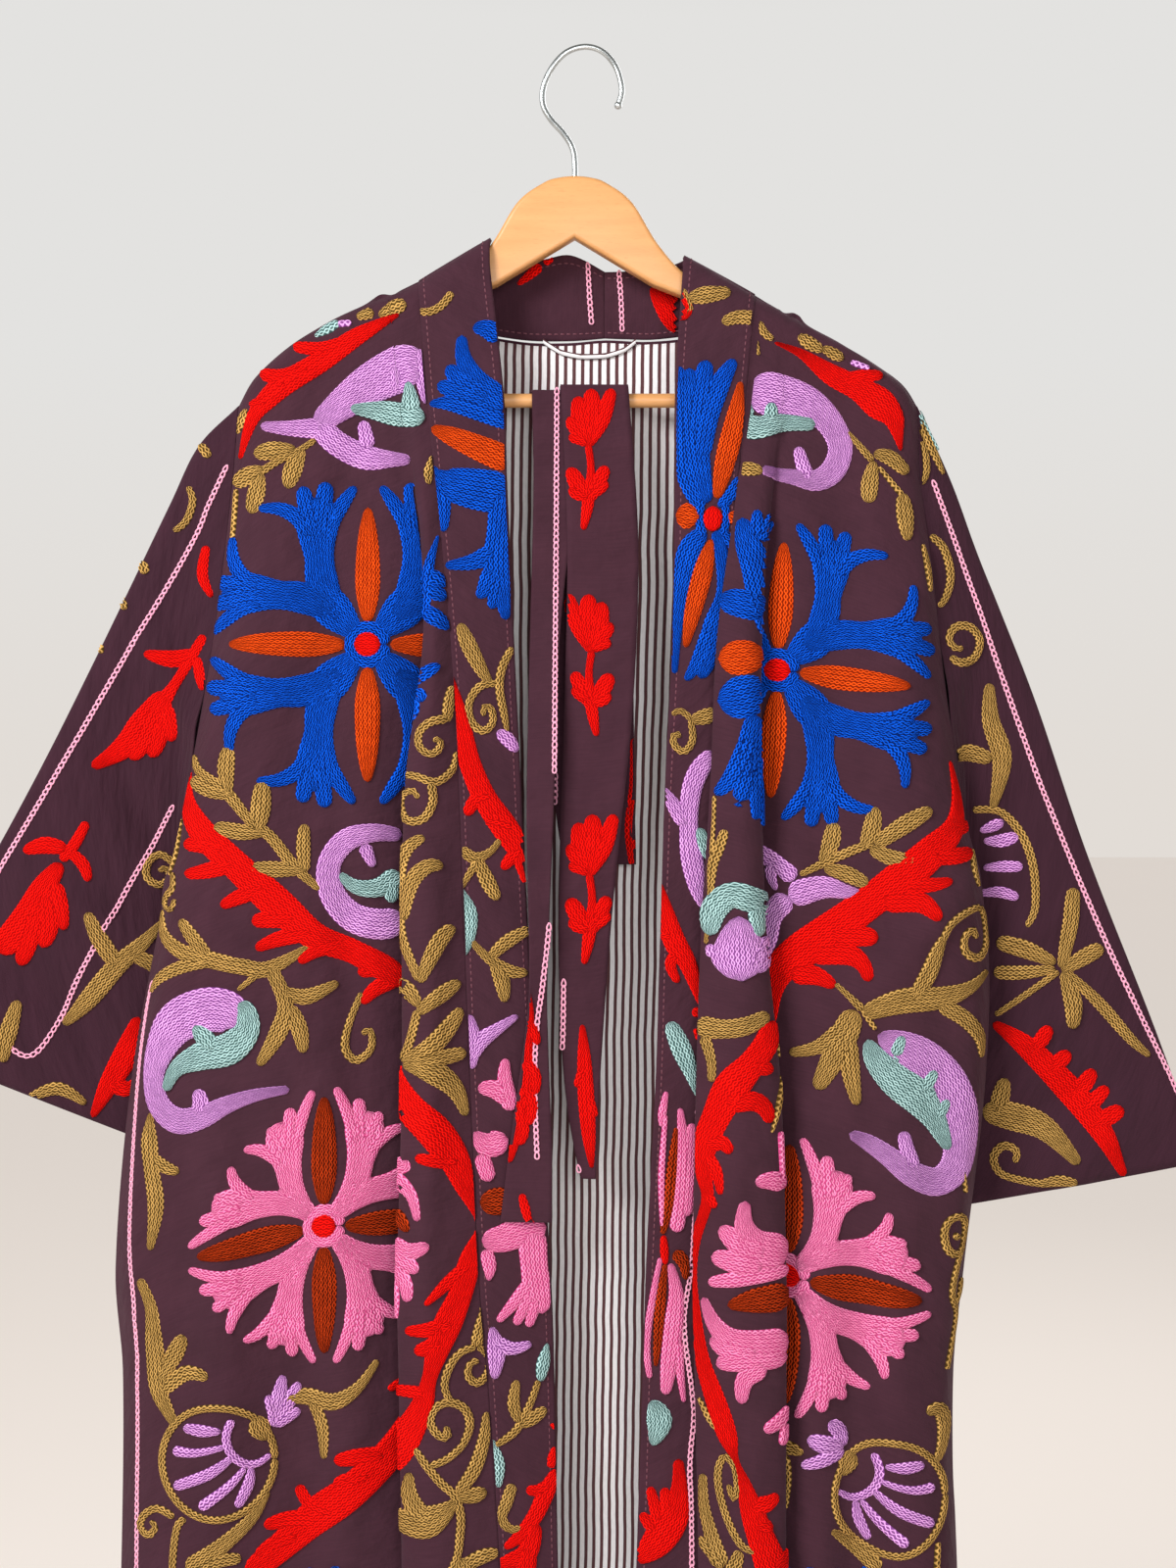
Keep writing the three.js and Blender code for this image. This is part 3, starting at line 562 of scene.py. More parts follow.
both_sides = (("left", left_front, -1, left_arm), ("right", right_front, 1, right_arm))
for name, front, hand, arm in both_sides:
    lines = front_lines(front, hand, arm, drops, 2.6 if "turn" in front else 0.0)
    surface = ripple(through(lines, line_steps).transpose(1, 0, 2), front_marks[name])
    fronts[name] = surface
    cloth_piece(shell("front_panel_" + name, surface, cloth_thick, plum), "front_" + name)

# The neckband: a long strip of the plum cotton folded double, sewn round the neckline and down
# both fronts and topstitched near both edges, its two halves joined at the centre back.
band_thick = 2.0
back_band = {
    "left": {"x": [-64, -65, -54, -32, -10, 13.5], "y": [0, 9, 16, 21, 20, 27],
             "z": [-129, -132, -135, -138, -135, -145], "seam_x": [-113.5, -100, -78, -45, -12, 13.5]},
    "right": {"x": [67, 67, 58, 43, 28, 13.5], "y": [0, 9, 16, 21, 25, 27],
              "z": [-141, -141.5, -143, -144, -145, -145], "seam_x": [117, 104, 80, 50, 28, 13.5]},
}
bands = {}
for name, front, hand, arm in both_sides:
    table = back_band[name]
    seam_x = np.array(table["seam_x"], float)
    seam_z = read(neckline, "z", "x", seam_x)
    behind_free = np.stack([table["x"], table["y"], table["z"]], -1).astype(float)[:0:-1]
    behind_seam = np.stack([seam_x, back_depth(seam_x, seam_z), seam_z + 1.4], -1)[:0:-1]
    seam_line = front_lines(front, hand, arm, drops)[-1]
    free_top = table["z"][0]
    free_z = stretched(free_top, drops)
    free_line = np.stack([read(front, "free", "z", free_z),
                          -read(front, "free_out", "z", free_z) * over_arm(free_top - free_z), free_z], -1)
    behind = through(np.stack([np.vstack([behind_free, free_line[:1]]),
                               np.vstack([behind_seam, seam_line[:1]])], 1), 8)[:-1]
    stations = np.concatenate([behind, np.stack([free_line, seam_line], 1)])
    t = np.linspace(0, 1, 27)[None, :, None]
    surface = stations[:, :1] + t * (stations[:, 1:] - stations[:, :1])
    surface[..., 1] -= 1.5 * (4 * t * (1 - t))[..., 0] + 0.8 * np.sin(surface[..., 2] / 61) * (1 - t[..., 0])
    surface[..., 0] += 1.1 * np.sin(surface[..., 2] / 84 + hand) * (1 - t[..., 0]) * (surface[..., 1] < -8)
    bands[name] = surface
    cloth_piece(shell("neckband_run_" + name, surface, band_thick, plum), "neckband_" + name)

topstitch_thread, tree, shader = new_material("maroon mercerised sewing cotton", 0.6, IOR=1.5)
# Smooth tight thread: short gleaming stitches with small gaps where it dives into the cloth.
ply = add(tree, "ShaderNodeTexNoise", {"Scale": 2600.0, "Detail": 1.0}).outputs["Fac"]
colour_by(tree, shader, ply, "#3A131E", "#6B2E40")


def topstitch(name, surface, shares, lift, stitch=2.8, gap=1.5, thread=0.32):
    """Lines of small straight machine stitches along a strip, at these shares of its width."""
    points, faces = [], []
    facing = normals_of(surface)
    for share in shares:
        column = share * (surface.shape[1] - 1)
        k, part = int(column), column - int(column)
        line = surface[:, k] * (1 - part) + surface[:, k + 1] * part
        out = facing[:, k]
        out = out * np.sign(-out[:, 1:2] + 1e-9) if surface[-1, 0, 1] < 0 else out
        reach = distance_along(line)
        for start in np.arange(2.0, reach[-1] - stitch, stitch + gap):
            s = start + stitch * np.array([0, 0.25, 0.75, 1.0])
            rise = lift + thread * np.array([-0.8, 0.8, 0.8, -0.8])
            place = np.stack([np.interp(s, reach, line[:, c]) for c in range(3)], -1)
            normal = np.stack([np.interp(s, reach, out[:, c]) for c in range(3)], -1)
            across = np.cross(place[-1] - place[0], normal)
            across /= np.linalg.norm(across, axis=1)[:, None]
            middle = place + normal * rise[:, None]
            base = 12 * len(points)
            points.append(np.concatenate([middle - across * thread * 1.5, middle + normal * thread,
                                          middle + across * thread * 1.5]))
            for row in range(3):
                a = base + row
                faces += [(a, a + 1, a + 5, a + 4), (a + 4, a + 5, a + 9, a + 8)]
    made = mesh_object(name, np.concatenate(points) * MM, faces, topstitch_thread)
    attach(made, "root")
    return made


stitching = {name: topstitch("topstitch_neckband_" + name, bands[name], (0.1, 0.92), band_thick / 2)
             for name in bands}

# The sleeves: one straight width of the plum cotton each, sewn to a tube and set into a deep
# armhole. They fall past the body, so their weight lays a few slanting folds above the cuff.
sleeve_tables = {
    "left": {"along": [0, 0.12, 0.25, 0.45, 0.65, 0.85, 1],
             "upper_x": [-236, -263, -283, -328, -375, -435, -474],
             "upper_z": [-243, -270, -310, -402, -495, -604, -675],
             "lower_x": [-270, -274, -280, -279, -272, -260, -252],
             "lower_z": [-500, -518, -552, -612, -672, -733, -768],
             "upper_y": [0, 1, 3, 6, 8, 10, 10], "lower_y": [0, 9, 19, 29, 33, 34, 34],
             "half": [7, 7.5, 8, 9, 10, 10, 10]},
    "right": {"along": [0, 0.12, 0.25, 0.45, 0.65, 0.85, 1],
              "upper_x": [226, 249, 268, 306, 343, 389, 423],
              "upper_z": [-243, -294, -345, -440, -548, -665, -758],
              "lower_x": [253, 256.5, 261, 254, 232, 206, 189],
              "lower_z": [-490, -508, -543, -615, -688, -760, -806],
              "upper_y": [0, 1, 3, 6, 8, 10, 10], "lower_y": [0, 9, 21, 33, 38, 40, 40],
              "half": [7, 7.5, 8, 9, 10, 10, 10]},
}
sleeve_marks = {"left": [(-300, -395, -262, -470, 5.6, 12), (-385, -560, -300, -610, 6.4, 13),
    (-400, -620, -320, -690, -6.4, 14), (-330, -470, -285, -560, -4.8, 12),
    (-440, -640, -380, -690, 4, 12), (-345, -580, -290, -600, -4.8, 9)],
    "right": [(262, -380, 248, -450, 4.8, 12), (345, -640, 282, -690, 6.4, 12),
    (370, -690, 290, -740, -5.6, 13), (300, -500, 270, -560, -4.8, 12), (385, -720, 330, -770, 4.8, 12),
    (330, -590, 275, -610, 4.8, 9)], }
# The sleeves are the same cotton as the body, drawn darker: painted shade for the shadow they hang in behind
# the body.
sleeve_plum_painted_shade = cotton("plum plain-weave cotton darkened as painted shade", "#3E202D", "#220F18")
sleeves = {}
for name, front, hand, arm in both_sides:
    table = sleeve_tables[name]
    along = np.linspace(0, 1, 96)[:, None] ** 1.15
    value = {key: read(table, key, "along", along) for key in table if key != "along"}
    angle = np.linspace(0, 2 * np.pi, 120, endpoint=False)[None]
    w = (1 - np.cos(angle)) / 2
    bend = np.sign(np.sin(angle)) * np.abs(np.sin(angle)) ** 0.7
    z = value["upper_z"] + w * (value["lower_z"] - value["upper_z"])
    arm_x = read(front, "side", "z", arm[0] + w * (arm[1] - arm[0])) + hand * 0.4
    straight_x = value["upper_x"] + w * (value["lower_x"] - value["upper_x"])
    off = arm_x - (table["upper_x"][0] + w * (table["lower_x"][0] - table["upper_x"][0]))
    x = straight_x + off * (1 - along) ** 3
    y = value["upper_y"] + w * (value["lower_y"] - value["upper_y"]) + value["half"] * bend
    surface = ripple(np.stack([x, y, z], -1), sleeve_marks[name], True)
    sleeves[name] = surface
    cloth_piece(shell("sleeve_tube_" + name, surface, cloth_thick, sleeve_plum_painted_shade, True),
                "sleeve_" + name)

# The back lining: cream cotton woven with narrow maroon stripes, seen between the fronts. It
# hangs free from the neckline seam, with a long and a short cross crease and soft upright waves.
striped, tree, shader = new_material("yarn-dyed striped plain-weave cotton", 0.85, IOR=1.46)
# Stripes dyed in the yarn: crisp maroon-brown lines, slightly uneven, on cream with fine threads.
cut = add(tree, "ShaderNodeUVMap", uv_map="stripe").outputs[0]
cross = add(tree, "ShaderNodeSeparateXYZ", {0: cut})
wander = noise(tree, cut, 0.02, 2.0)
turns = calc(tree, "ADD", cross.outputs[0], calc(tree, "MULTIPLY", wander, 0.5))
phase = calc(tree, "FRACT", turns)
distance = calc(tree, "ABSOLUTE", calc(tree, "SUBTRACT", phase, 0.5))
line_mask = add(tree, "ShaderNodeMapRange", {0: distance, 1: 0.18, 2: 0.24, 3: 1.0, 4: 0.0},
                interpolation_type="SMOOTHSTEP").outputs[0]
stretched_cut = add(tree, "ShaderNodeMapping", {"Vector": cut, "Scale": (6.0, 0.25, 1.0)}).outputs[0]
threads = noise(tree, stretched_cut, 1.0, 4.0)
cream = blend_colour(tree, threads, "#C6C2C4", "#E6E3E4")
maroon = blend_colour(tree, threads, "#3A1C20", "#5A3034")
colour_by(tree, shader, line_mask, cream, maroon)
soft = noise(tree, cut, 0.05, 3.0)
height = calc(tree, "ADD", calc(tree, "MULTIPLY", soft, 1.6), calc(tree, "MULTIPLY", threads, 0.12))
relief_by(tree, shader, height, 0.5, 0.001)


def stripe_map(made, pitch_of):
    """Counts the stripes across a piece, wider apart where the cloth hangs flat."""
    place = np.empty(len(made.data.vertices) * 3)
    made.data.vertices.foreach_get("co", place)
    place = place.reshape(-1, 3) / MM
    corner_map(made, "stripe", np.stack([pitch_of(place), place[:, 2]], -1))


# Rows lie close together only where the two creases cross the lining.
lining_rows = np.concatenate([[0, 8, 16], np.linspace(24, 140, 16), np.linspace(143, 163, 9),
    np.linspace(170, 458, 38), np.linspace(461, 490, 14), np.linspace(496, 1195, 90)])
lining_surface = ripple(back_grid(100, 8, lining_forward, 2.5, 30, lining_rows), lining_marks)
lining = shell("striped_back_lining", lining_surface, 0.8, striped)
stripe_map(lining, lambda p: (p[:, 0] - 4 - 0.012 * (p[:, 2] + 600)) / (5.35 + 0.55 * ease(-620, -330,
    p[:, 2])))
cloth_piece(lining, "lining_back")

# The hang loop: a narrow rouleau of the lining cloth, sewn into the neckline seam at both ends
# and sagging a little between them.
loop_x, loop_z = [-29, -17, -3, 14, 27, 35], [-194.5, -202, -205.0, -204.5, -200.5, -194.5]
loop_line = through([(x, 0, z) for x, z in zip(loop_x, loop_z)], 8)
loop_line[:, 1] = back_depth(loop_line[:, 0], loop_line[:, 2]) - lining_forward - 2.0
half_height = np.array([[0, 0, 1.7], [0, -0.9, 0.9], [0, -1.1, 0], [0, -0.9, -0.9], [0, 0, -1.7]])
loop_piece = shell("hang_loop_rouleau", loop_line[:, None] + half_height[None], 0.5, striped)
stripe_map(loop_piece, lambda p: (p[:, 2] - np.interp(p[:, 0], loop_x, loop_z)) / 4.2 + 0.95)
cloth_piece(loop_piece, "hang_loop")

# The sash: a long strip of the plum cotton folded double and embroidered along one side. It is
# folded at its middle and laid over the bar, so both ends hang in front and the fold behind.
belt_table = {"x": [-39, -36, -32, -31, -30, -27, -20, -14, -12, -12, -12, -11, -9, -4, 3, 9, 10, 9, 7, 6,
    6, 6, 6, 7, 12, 9, 0, -2, 2], "y": [-39.5, -37, -33.5, -32, -27.5, -16, -8, -6.4, -4.6, 0, 4.6, 6.4,
    7, 7.5, 8.5, 9.5, 12.8, 13.2, 10.5, 8.9, 6.3, 0, -6.3, -8.9, -11.5, -14, -17, -19, -20], "z": [-790,
    -740, -660, -620, -520, -400, -300, -240, -234.2, -232.4, -234.2, -240, -290, -400, -500, -548, -549,
    -500, -320, -240, -232.6, -229.9, -232.6, -240, -340, -450, -590, -700, -765], "half": [17, 14, 7, 6,
    9, 10, 15, 22, 24, 25, 25, 25, 26, 25, 25, 25, 25, 25, 25, 24, 23, 23, 23, 23, 24, 23, 18, 12, 5], }
belt_line = through(np.stack([belt_table[k] for k in ("x", "y", "z", "half")], -1), 12)
side = np.linspace(-1, 1, 13)
belt_surface = np.stack([belt_line[:, :1] + side * belt_line[:, 3:], np.repeat(belt_line[:, 1:2], 13, 1),
                         np.repeat(belt_line[:, 2:3], 13, 1)], -1)
sway = 1.6 * np.sin(belt_surface[..., 2] / 57) * ease(-260, -420, belt_surface[..., 2]) * side
belt_surface[..., 1] += np.where(belt_surface[..., 1] < -8, sway, 0)
cloth_piece(shell("sash", belt_surface, 1.5, plum), "belt")

# The embroidery: wool yarn worked through the cotton with a hook, in close rows of chain stitch
# that run along each leaf, petal and scroll. It was worked on the flat lengths before sewing, so
# motifs are cut off at the seams and hidden in the pleats.
# Each wool has a lit colour for the crowns of its strands and a much darker one, painted shade for the holes
# and gaps between the chain links.
wool_colours = {
    "red": ("red", "#FF120A", "#A00303"), "blue": ("blue", "#0A5CE4", "#01124A"),
    "orange": ("burnt-orange", "#F25212", "#741802"), "rust": ("rust", "#B8380E", "#3C0A01"),
    "lilac": ("lilac", "#F0ACF0", "#743A7E"), "mint": ("grey-mint", "#B7DCDA", "#365352"),
    "olive": ("olive", "#CC9F58", "#3E2C0E"), "pink": ("pink", "#FF92C0", "#B83C72"),
}
row_width, link_pitch = 2.6, 3.9
far_off = 9999


def wool(name, lit, painted_gap_shade):
    """Two-ply wool, quite matt and a little fuzzy; each row a chain of rounded links, the strands coloured
    lit along their crowns and the holes and gaps between them in a darker painted shade.
    """
    made, tree, shader = new_material(name, 0.95, IOR=1.5)
    shader.inputs["Specular IOR Level"].default_value = 0.06
    cross = add(tree, "ShaderNodeSeparateXYZ", {0: add(tree, "ShaderNodeUVMap", uv_map="stitch").outputs[0]})
    row = calc(tree, "DIVIDE", cross.outputs[1], row_width)
    row_number = calc(tree, "FLOOR", row)
    sideways = calc(tree, "ABSOLUTE", calc(tree, "SUBTRACT", calc(tree, "FRACT", row), 0.5))
    turns = calc(tree, "MULTIPLY_ADD", cross.outputs[0], 1 / link_pitch, calc(tree, "MULTIPLY",
        row_number, 0.37))
    opening = calc(tree, "SINE", calc(tree, "MULTIPLY", calc(tree, "FRACT", turns), math.pi))
    off = calc(tree, "SUBTRACT", sideways, calc(tree, "MULTIPLY", opening, 0.3))
    beside = calc(tree, "DIVIDE", calc(tree, "ABSOLUTE", off), 0.21)
    strand = calc(tree, "SUBTRACT", 1.0, calc(tree, "MULTIPLY", beside, beside))
    strand = calc(tree, "MAXIMUM", strand, 0.0)
    link = add(tree, "ShaderNodeCombineXYZ", {0: row_number, 1: calc(tree, "FLOOR", turns)})
    chance = add(tree, "ShaderNodeTexWhiteNoise", {"Vector": link.outputs[0]},
        noise_dimensions="2D").outputs["Value"]
    place = add(tree, "ShaderNodeTexCoord").outputs["Object"]
    fuzz = noise(tree, place, 1300.0, 3.0)
    # Painted light and shade: the lit colour on the round strands fades to the painted gap shade between
    # them; a random tone for each link and fine fuzz are mixed in.
    depth = calc(tree, "MULTIPLY", calc(tree, "POWER", strand, 0.8), calc(tree, "MULTIPLY_ADD", chance,
        0.35, 0.75))
    depth = calc(tree, "MULTIPLY_ADD", fuzz, 0.3, calc(tree, "SUBTRACT", depth, 0.15))
    colour_by(tree, shader, depth, painted_gap_shade, lit)
    relief_by(tree, shader, calc(tree, "MULTIPLY_ADD", fuzz, 0.25, strand), 1.0, 0.0009)
    return made


wools = {key: wool(f"{shade} chain-stitched wool", lit, painted_gap_shade) for key, (shade, lit,
    painted_gap_shade) in wool_colours.items()}
wool_index = {key: i for i, key in enumerate(wools)}
chance = random.Random(7)


def drape(region, x, z):
    """Where the flat points x, z come to lie on the cloth, and which way it faces there."""
    where = np.full(x.shape + (3,), np.nan)
    facing = np.zeros(x.shape + (3,))
    toward = Vector((0, -region["side"], 0))
    for i in np.ndindex(x.shape):
        hit, normal, _, _ = region["tree"].ray_cast(Vector((x[i], 400 * region["side"], z[i])), toward)
        if hit is not None:
            where[i] = hit
            facing[i] = normal if normal.y * region["side"] > 0 else -normal
    return where, facing


def region(grid, unit, low=lambda z: 0 * z - far_off, high=lambda z: 0 * z + far_off, side=-1,
           joined=False):
    """A cloth to work on, the size of a drawing unit there, and its lowest and highest x at each z."""
    quads = quads_of(grid_numbers(grid, joined)).tolist()
    tree = BVHTree.FromPolygons([Vector(p) for p in grid.reshape(-1, 3)], quads)
    return {"tree": tree, "unit": unit, "side": side, "low": low, "high": high}


def lay(area, points):
    """Pattern points (x, y, width) in drawing units become millimetres on the hung garment."""
    line = np.asarray(points, float)
    unit = area["unit"]
    return np.stack([2 + (line[:, 0] - 600) * unit, -500 - (line[:, 1] - 800) * unit, line[:, 2] * unit], -1)


# A ribbon's shape in millimetres: the steps along and across it, its height, how wide its rounded
# edges are and how deep it sinks into the cloth. Each stroke lies a hair above the one before it.
step_along, step_across, ribbon_high, ribbon_edge, ribbon_sunk = 2.9, 3.6, 1.9, 1.6, 0.3
hair, layers_high, least_wide, deepest_jump = 0.006, 60, 0.8, 7


def embroider(name, areas, cloth_half=cloth_thick / 2):
    """One raised piece of stitching: each stroke is a ribbon of rows with soft rounded edges."""
    points, faces, maps, shades = [], [], [], []
    base = 0
    for area, strokes in areas:
        for order, (colour, lift, stroke) in enumerate(strokes):
            line = through(lay(area, stroke), 8)
            reach = distance_along(line[:, :2])
            if reach[-1] < 1:
                continue
            s = np.linspace(0, reach[-1], max(6, int(reach[-1] / step_along)))
            cap = line[:, 2].max() / 2
            s = np.unique(np.concatenate([s, [0.15 * cap, 0.5 * cap, reach[-1] - 0.15 * cap,
                reach[-1] - 0.5 * cap]]))
            s = s[(s >= 0) & (s <= reach[-1])]
            x, z, wide = (np.interp(s, reach, line[:, k]) for k in range(3))
            wide = np.maximum(wide, least_wide)
            from_end = np.minimum(s, reach[-1] - s) / (wide / 2)
            wide = wide * np.sqrt(np.clip(1 - (1 - np.minimum(from_end, 1)) ** 2, 0.01, 1))
            along = np.stack([np.gradient(x, s), np.gradient(z, s)])
            along /= np.maximum(np.linalg.norm(along, axis=0), 1e-9)
            t = np.linspace(0, 1, max(7, int(wide.max() / step_across) + 4))
            u = 0.2 * t + 0.8 * (0.5 - 0.5 * np.cos(np.pi * t))
            offset = (u[None] - 0.5) * wide[:, None]
            px = x[:, None] - along[1][:, None] * offset
            pz = z[:, None] + along[0][:, None] * offset
            low, high = area["low"](pz), area["high"](pz)
            inside = (px >= low) & (px <= high)
            if not inside.any():
                continue
            px = np.clip(px, low, high)
            where, facing = drape(area, px, pz)
            from_edge = np.minimum(u[None], 1 - u[None]) * wide[:, None]
            rounded = np.sqrt(1 - (1 - np.minimum(from_edge / ribbon_edge, 1)) ** 2)
            height = ribbon_high * rounded - ribbon_sunk + cloth_half + lift + hair * (order % layers_high)
            made = where + facing * height[..., None]
            quad = quads_of(grid_numbers(px))
            flat = made.reshape(-1, 3)
            ok = np.isfinite(flat[quad][..., 0]).all(1) & inside.reshape(-1)[quad].any(1)
            depth = np.nan_to_num(flat[quad][..., 1])
            ok &= np.ptp(depth, axis=1) < deepest_jump
            quad = quad[ok]
            if area["side"] > 0:
                quad = quad[:, ::-1]
            start = chance.random() * 40
            whole_rows = max(1, round(0.85 * wide.max() / row_width)) * row_width
            stitch = np.stack([s[:, None] + start + 0 * px, u * whole_rows + 0 * px], -1).reshape(-1, 2)
            points.append(np.nan_to_num(flat))
            faces.append(quad + base)
            maps.append(stitch[quad].reshape(-1, 2))
            shades.append(np.full(len(quad), wool_index[colour]))
            base += len(flat)
    points, faces = np.concatenate(points) * MM, np.concatenate(faces)
    used, faces = np.unique(faces, return_inverse=True)
    faces = faces.reshape(-1, 4)
    data = bpy.data.meshes.new(name)
    data.from_pydata(points[used].tolist(), [], faces.tolist())
    layer = data.uv_layers.new(name="stitch")
    layer.data.foreach_set("uv", np.concatenate(maps).ravel())
    piece = placed(name, data, wools.values())
    data.polygons.foreach_set("material_index", np.concatenate(shades))
    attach(piece, "root")
    return piece


chain_wool, tree, shader = new_material("pale pink two-ply wool in open chain", 0.85, IOR=1.5,
    Sheen_Weight=0.3)
# A single line of larger links: each strand a rounded yarn with twist, and cloth seen through it.
place = add(tree, "ShaderNodeTexCoord").outputs["Object"]
twist = noise(tree, place, 900.0, 3.0)
colour_by(tree, shader, twist, "#D07E9C", "#F6AFC8")
relief_by(tree, shader, twist, 0.4, 0.0004)


def chain(name, areas, cloth_half=cloth_thick / 2, pitch=4.2, half_width=1.75, yarn=0.6):
    """A line of single chain stitches: one pointed loop of yarn after another."""
    points, faces = [], []
    turn = np.linspace(0, 2 * np.pi, 12, endpoint=False)
    ring = np.linspace(0, 2 * np.pi, 5, endpoint=False)
    for area, stroke in areas:
        line = through(lay(area, [(x, y, 1) for x, y in stroke]), 12)
        reach = distance_along(line[:, :2])
        for s in np.arange(pitch / 2, reach[-1] - pitch / 2, pitch):
            x, z = (np.interp(s, reach, line[:, k]) for k in (0, 1))
            ax = np.interp(s + 1, reach, line[:, 0]) - np.interp(s - 1, reach, line[:, 0])
            az = np.interp(s + 1, reach, line[:, 1]) - np.interp(s - 1, reach, line[:, 1])
            size = math.hypot(ax, az)
            ax, az = ax / size, az / size
            where, facing = drape(area, np.array([x]), np.array([z]))
            if not np.isfinite(where[0, 0]) or not area["low"](z) <= x <= area["high"](z):
                continue
            out = facing[0]
            down = np.array([ax, 0, az])
            down -= out * (down @ out)
            down /= np.linalg.norm(down)
            across = np.cross(out, down)
            loose = 0.9 + 0.2 * chance.random()
            forward = pitch * 0.62 * np.cos(turn)
            sideways = half_width * loose * np.sin(turn) * (0.75 + 0.3 * np.cos(turn))
            centre = (where[0] + down * forward[:, None] + across * sideways[:, None]
                      + out * (cloth_half + 0.55 + 0.25 * np.cos(turn))[:, None])
            along = np.roll(centre, -1, 0) - np.roll(centre, 1, 0)
            along /= np.linalg.norm(along, axis=1)[:, None]
            sidewise = np.cross(along, out)
            sidewise /= np.maximum(np.linalg.norm(sidewise, axis=1)[:, None], 1e-6)
            loop = (centre[:, None] + yarn * (np.cos(ring)[None, :, None] * sidewise[:, None]
                                              + np.sin(ring)[None, :, None] * out[None, None]))
            base = len(points) * len(turn) * len(ring)
            points.append(loop.reshape(-1, 3))
            a = np.arange(len(turn))[:, None] * len(ring) + np.arange(len(ring))[None]
            b = np.roll(a, -1, 0)
            quad = np.stack([a, np.roll(a, -1, 1), np.roll(b, -1, 1), b], -1).reshape(-1, 4)
            faces.append(quad + base)
    made = mesh_object(name, np.concatenate(points) * MM, np.concatenate(faces), chain_wool)
    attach(made, "root")
    return made


def turned(strokes, across, down=0.0):
    """The same strokes mirrored about an upright line and moved down the cloth."""
    return [(colour, lift, [(2 * across - x, y + down, w) for x, y, w in stroke])
            for colour, lift, stroke in strokes]


def moved(strokes, right, down):
    return [(colour, lift, [(x + right, y + down, w) for x, y, w in stroke])
            for colour, lift, stroke in strokes]


def flat(colour, *strokes):
    return [(colour, 0.0, stroke) for stroke in strokes]


def raised(colour, *strokes):
    return [(colour, 0.7, stroke) for stroke in strokes]


broad_fingers = [[(26, 26, 14), (46, 62, 32), (50, 90, 30), (52, 118, 42), (50, 151, 52)], [(40, 106, 10),
    (36, 128, 16), (25, 147, 15), (13, 163, 8)], [(50, 110, 16), (46, 140, 18), (43, 167, 16)],
    [(56, 110, 16), (62, 138, 18), (67, 162, 15)], [(61, 110, 14), (71, 129, 17), (90, 139, 14),
    (112, 140, 8)]]
slim_fingers = [[(14, 14, 14), (34, 46, 26), (40, 72, 30), (44, 98, 42), (42, 124, 42)], [(34, 88, 14),
    (28, 114, 14), (20, 135, 12), (12, 151, 8)], [(40, 92, 16), (39, 115, 16), (37, 138, 13)],
    [(46, 90, 16), (54, 108, 15), (62, 122, 12)], [(48, 78, 14), (60, 92, 16), (75, 101, 13),
    (90, 104, 8)]]


def rosette(cx, cy, size, petal, spindle, fingers, across=(1.0, 0.0), down=(0.0, 1.0), quarters=(0, 1, 2, 3),
            spindles=(0, 1, 2, 3), spindle_width=26, droop=0.0):
    """Four forked petals with fingered tips, four slim spindles between them and a round heart."""
    def at(p, q):
        fall = max(-p, 0) * droop
        return (cx + (p * across[0] + q * down[0]) * size, cy + (p * across[1] + q * down[1] + fall) * size)
    strokes = []
    slim = 0.8 if fingers is slim_fingers else 1.0
    for quarter in quarters:
        sx, sy = ((1, -1), (1, 1), (-1, 1), (-1, -1))[quarter]
        trunk = [(10, 10, 16), (36, 36, 40 * slim), (64 * slim, 64 * slim, 26 * slim)]
        strokes.append((petal, 0.0, [at(sx * p, sy * q) + (w * size,) for p, q, w in trunk]))
        for finger in fingers:
            strokes.append((petal, 0.0, [at(sx * p, sy * q) + (w * size,) for p, q, w in finger]))
            strokes.append((petal, 0.0, [at(sx * q, sy * p) + (w * size,) for p, q, w in finger]))
    circle = [at(18 * math.cos(a), 18 * math.sin(a)) + (13 * size,) for a in np.linspace(0, 2 * math.pi, 13)]
    strokes.append((petal, 0.0, circle))
    for direction in spindles:
        dx, dy = ((0, -1), (1, 0), (0, 1), (-1, 0))[direction]
        body = [(23, 0.35), (40, 0.75), (62, 1.0), (95, 0.92), (122, 0.65), (141, 0.25)]
        strokes.append((spindle, 0.0, [at(dx * r, dy * r) + (w * spindle_width * size,) for r, w in body]))
    heart = [at(p, 0) + (27 * size,) for p in (-13.5, -5, 5, 13.5)]
    strokes.append(("red", 0.35, heart))
    return strokes


def ring_flower(cx, cy, hand):
    """An olive ring with a bulb, and a curved lilac stem that bears five drops."""
    ring = [(cx + 57 * math.cos(a), cy + 58 * math.sin(a), 8) for a in np.linspace(0, 2 * math.pi, 25)]
    strokes = flat("olive", ring, [(cx + hand * 38, cy - 46, 10), (cx + hand * 42, cy - 34, 23),
                                   (cx + hand * 48, cy - 20, 10)])
    stem = [(16, -45, 9), (10, -28, 9), (14, -11, 9), (26, 1, 9), (40, 3, 8), (53, -5, 6)]
    drops = [[(5, -33, 6), (-15, -33, 13), (-34, -35, 9)], [(8, -17, 6), (-22, -10, 9), (-45, -11, 12)],
             [(16, -6, 7), (-8, 11, 12), (-44, 26, 11)], [(28, 6, 6), (12, 24, 10), (-17, 46, 12)],
             [(34, 6, 6), (31, 24, 12), (20, 46, 9)]]
    strokes += flat("lilac", *[[(cx + hand * x, cy + y, w) for x, y, w in part] for part in [stem] + drops])
    return strokes


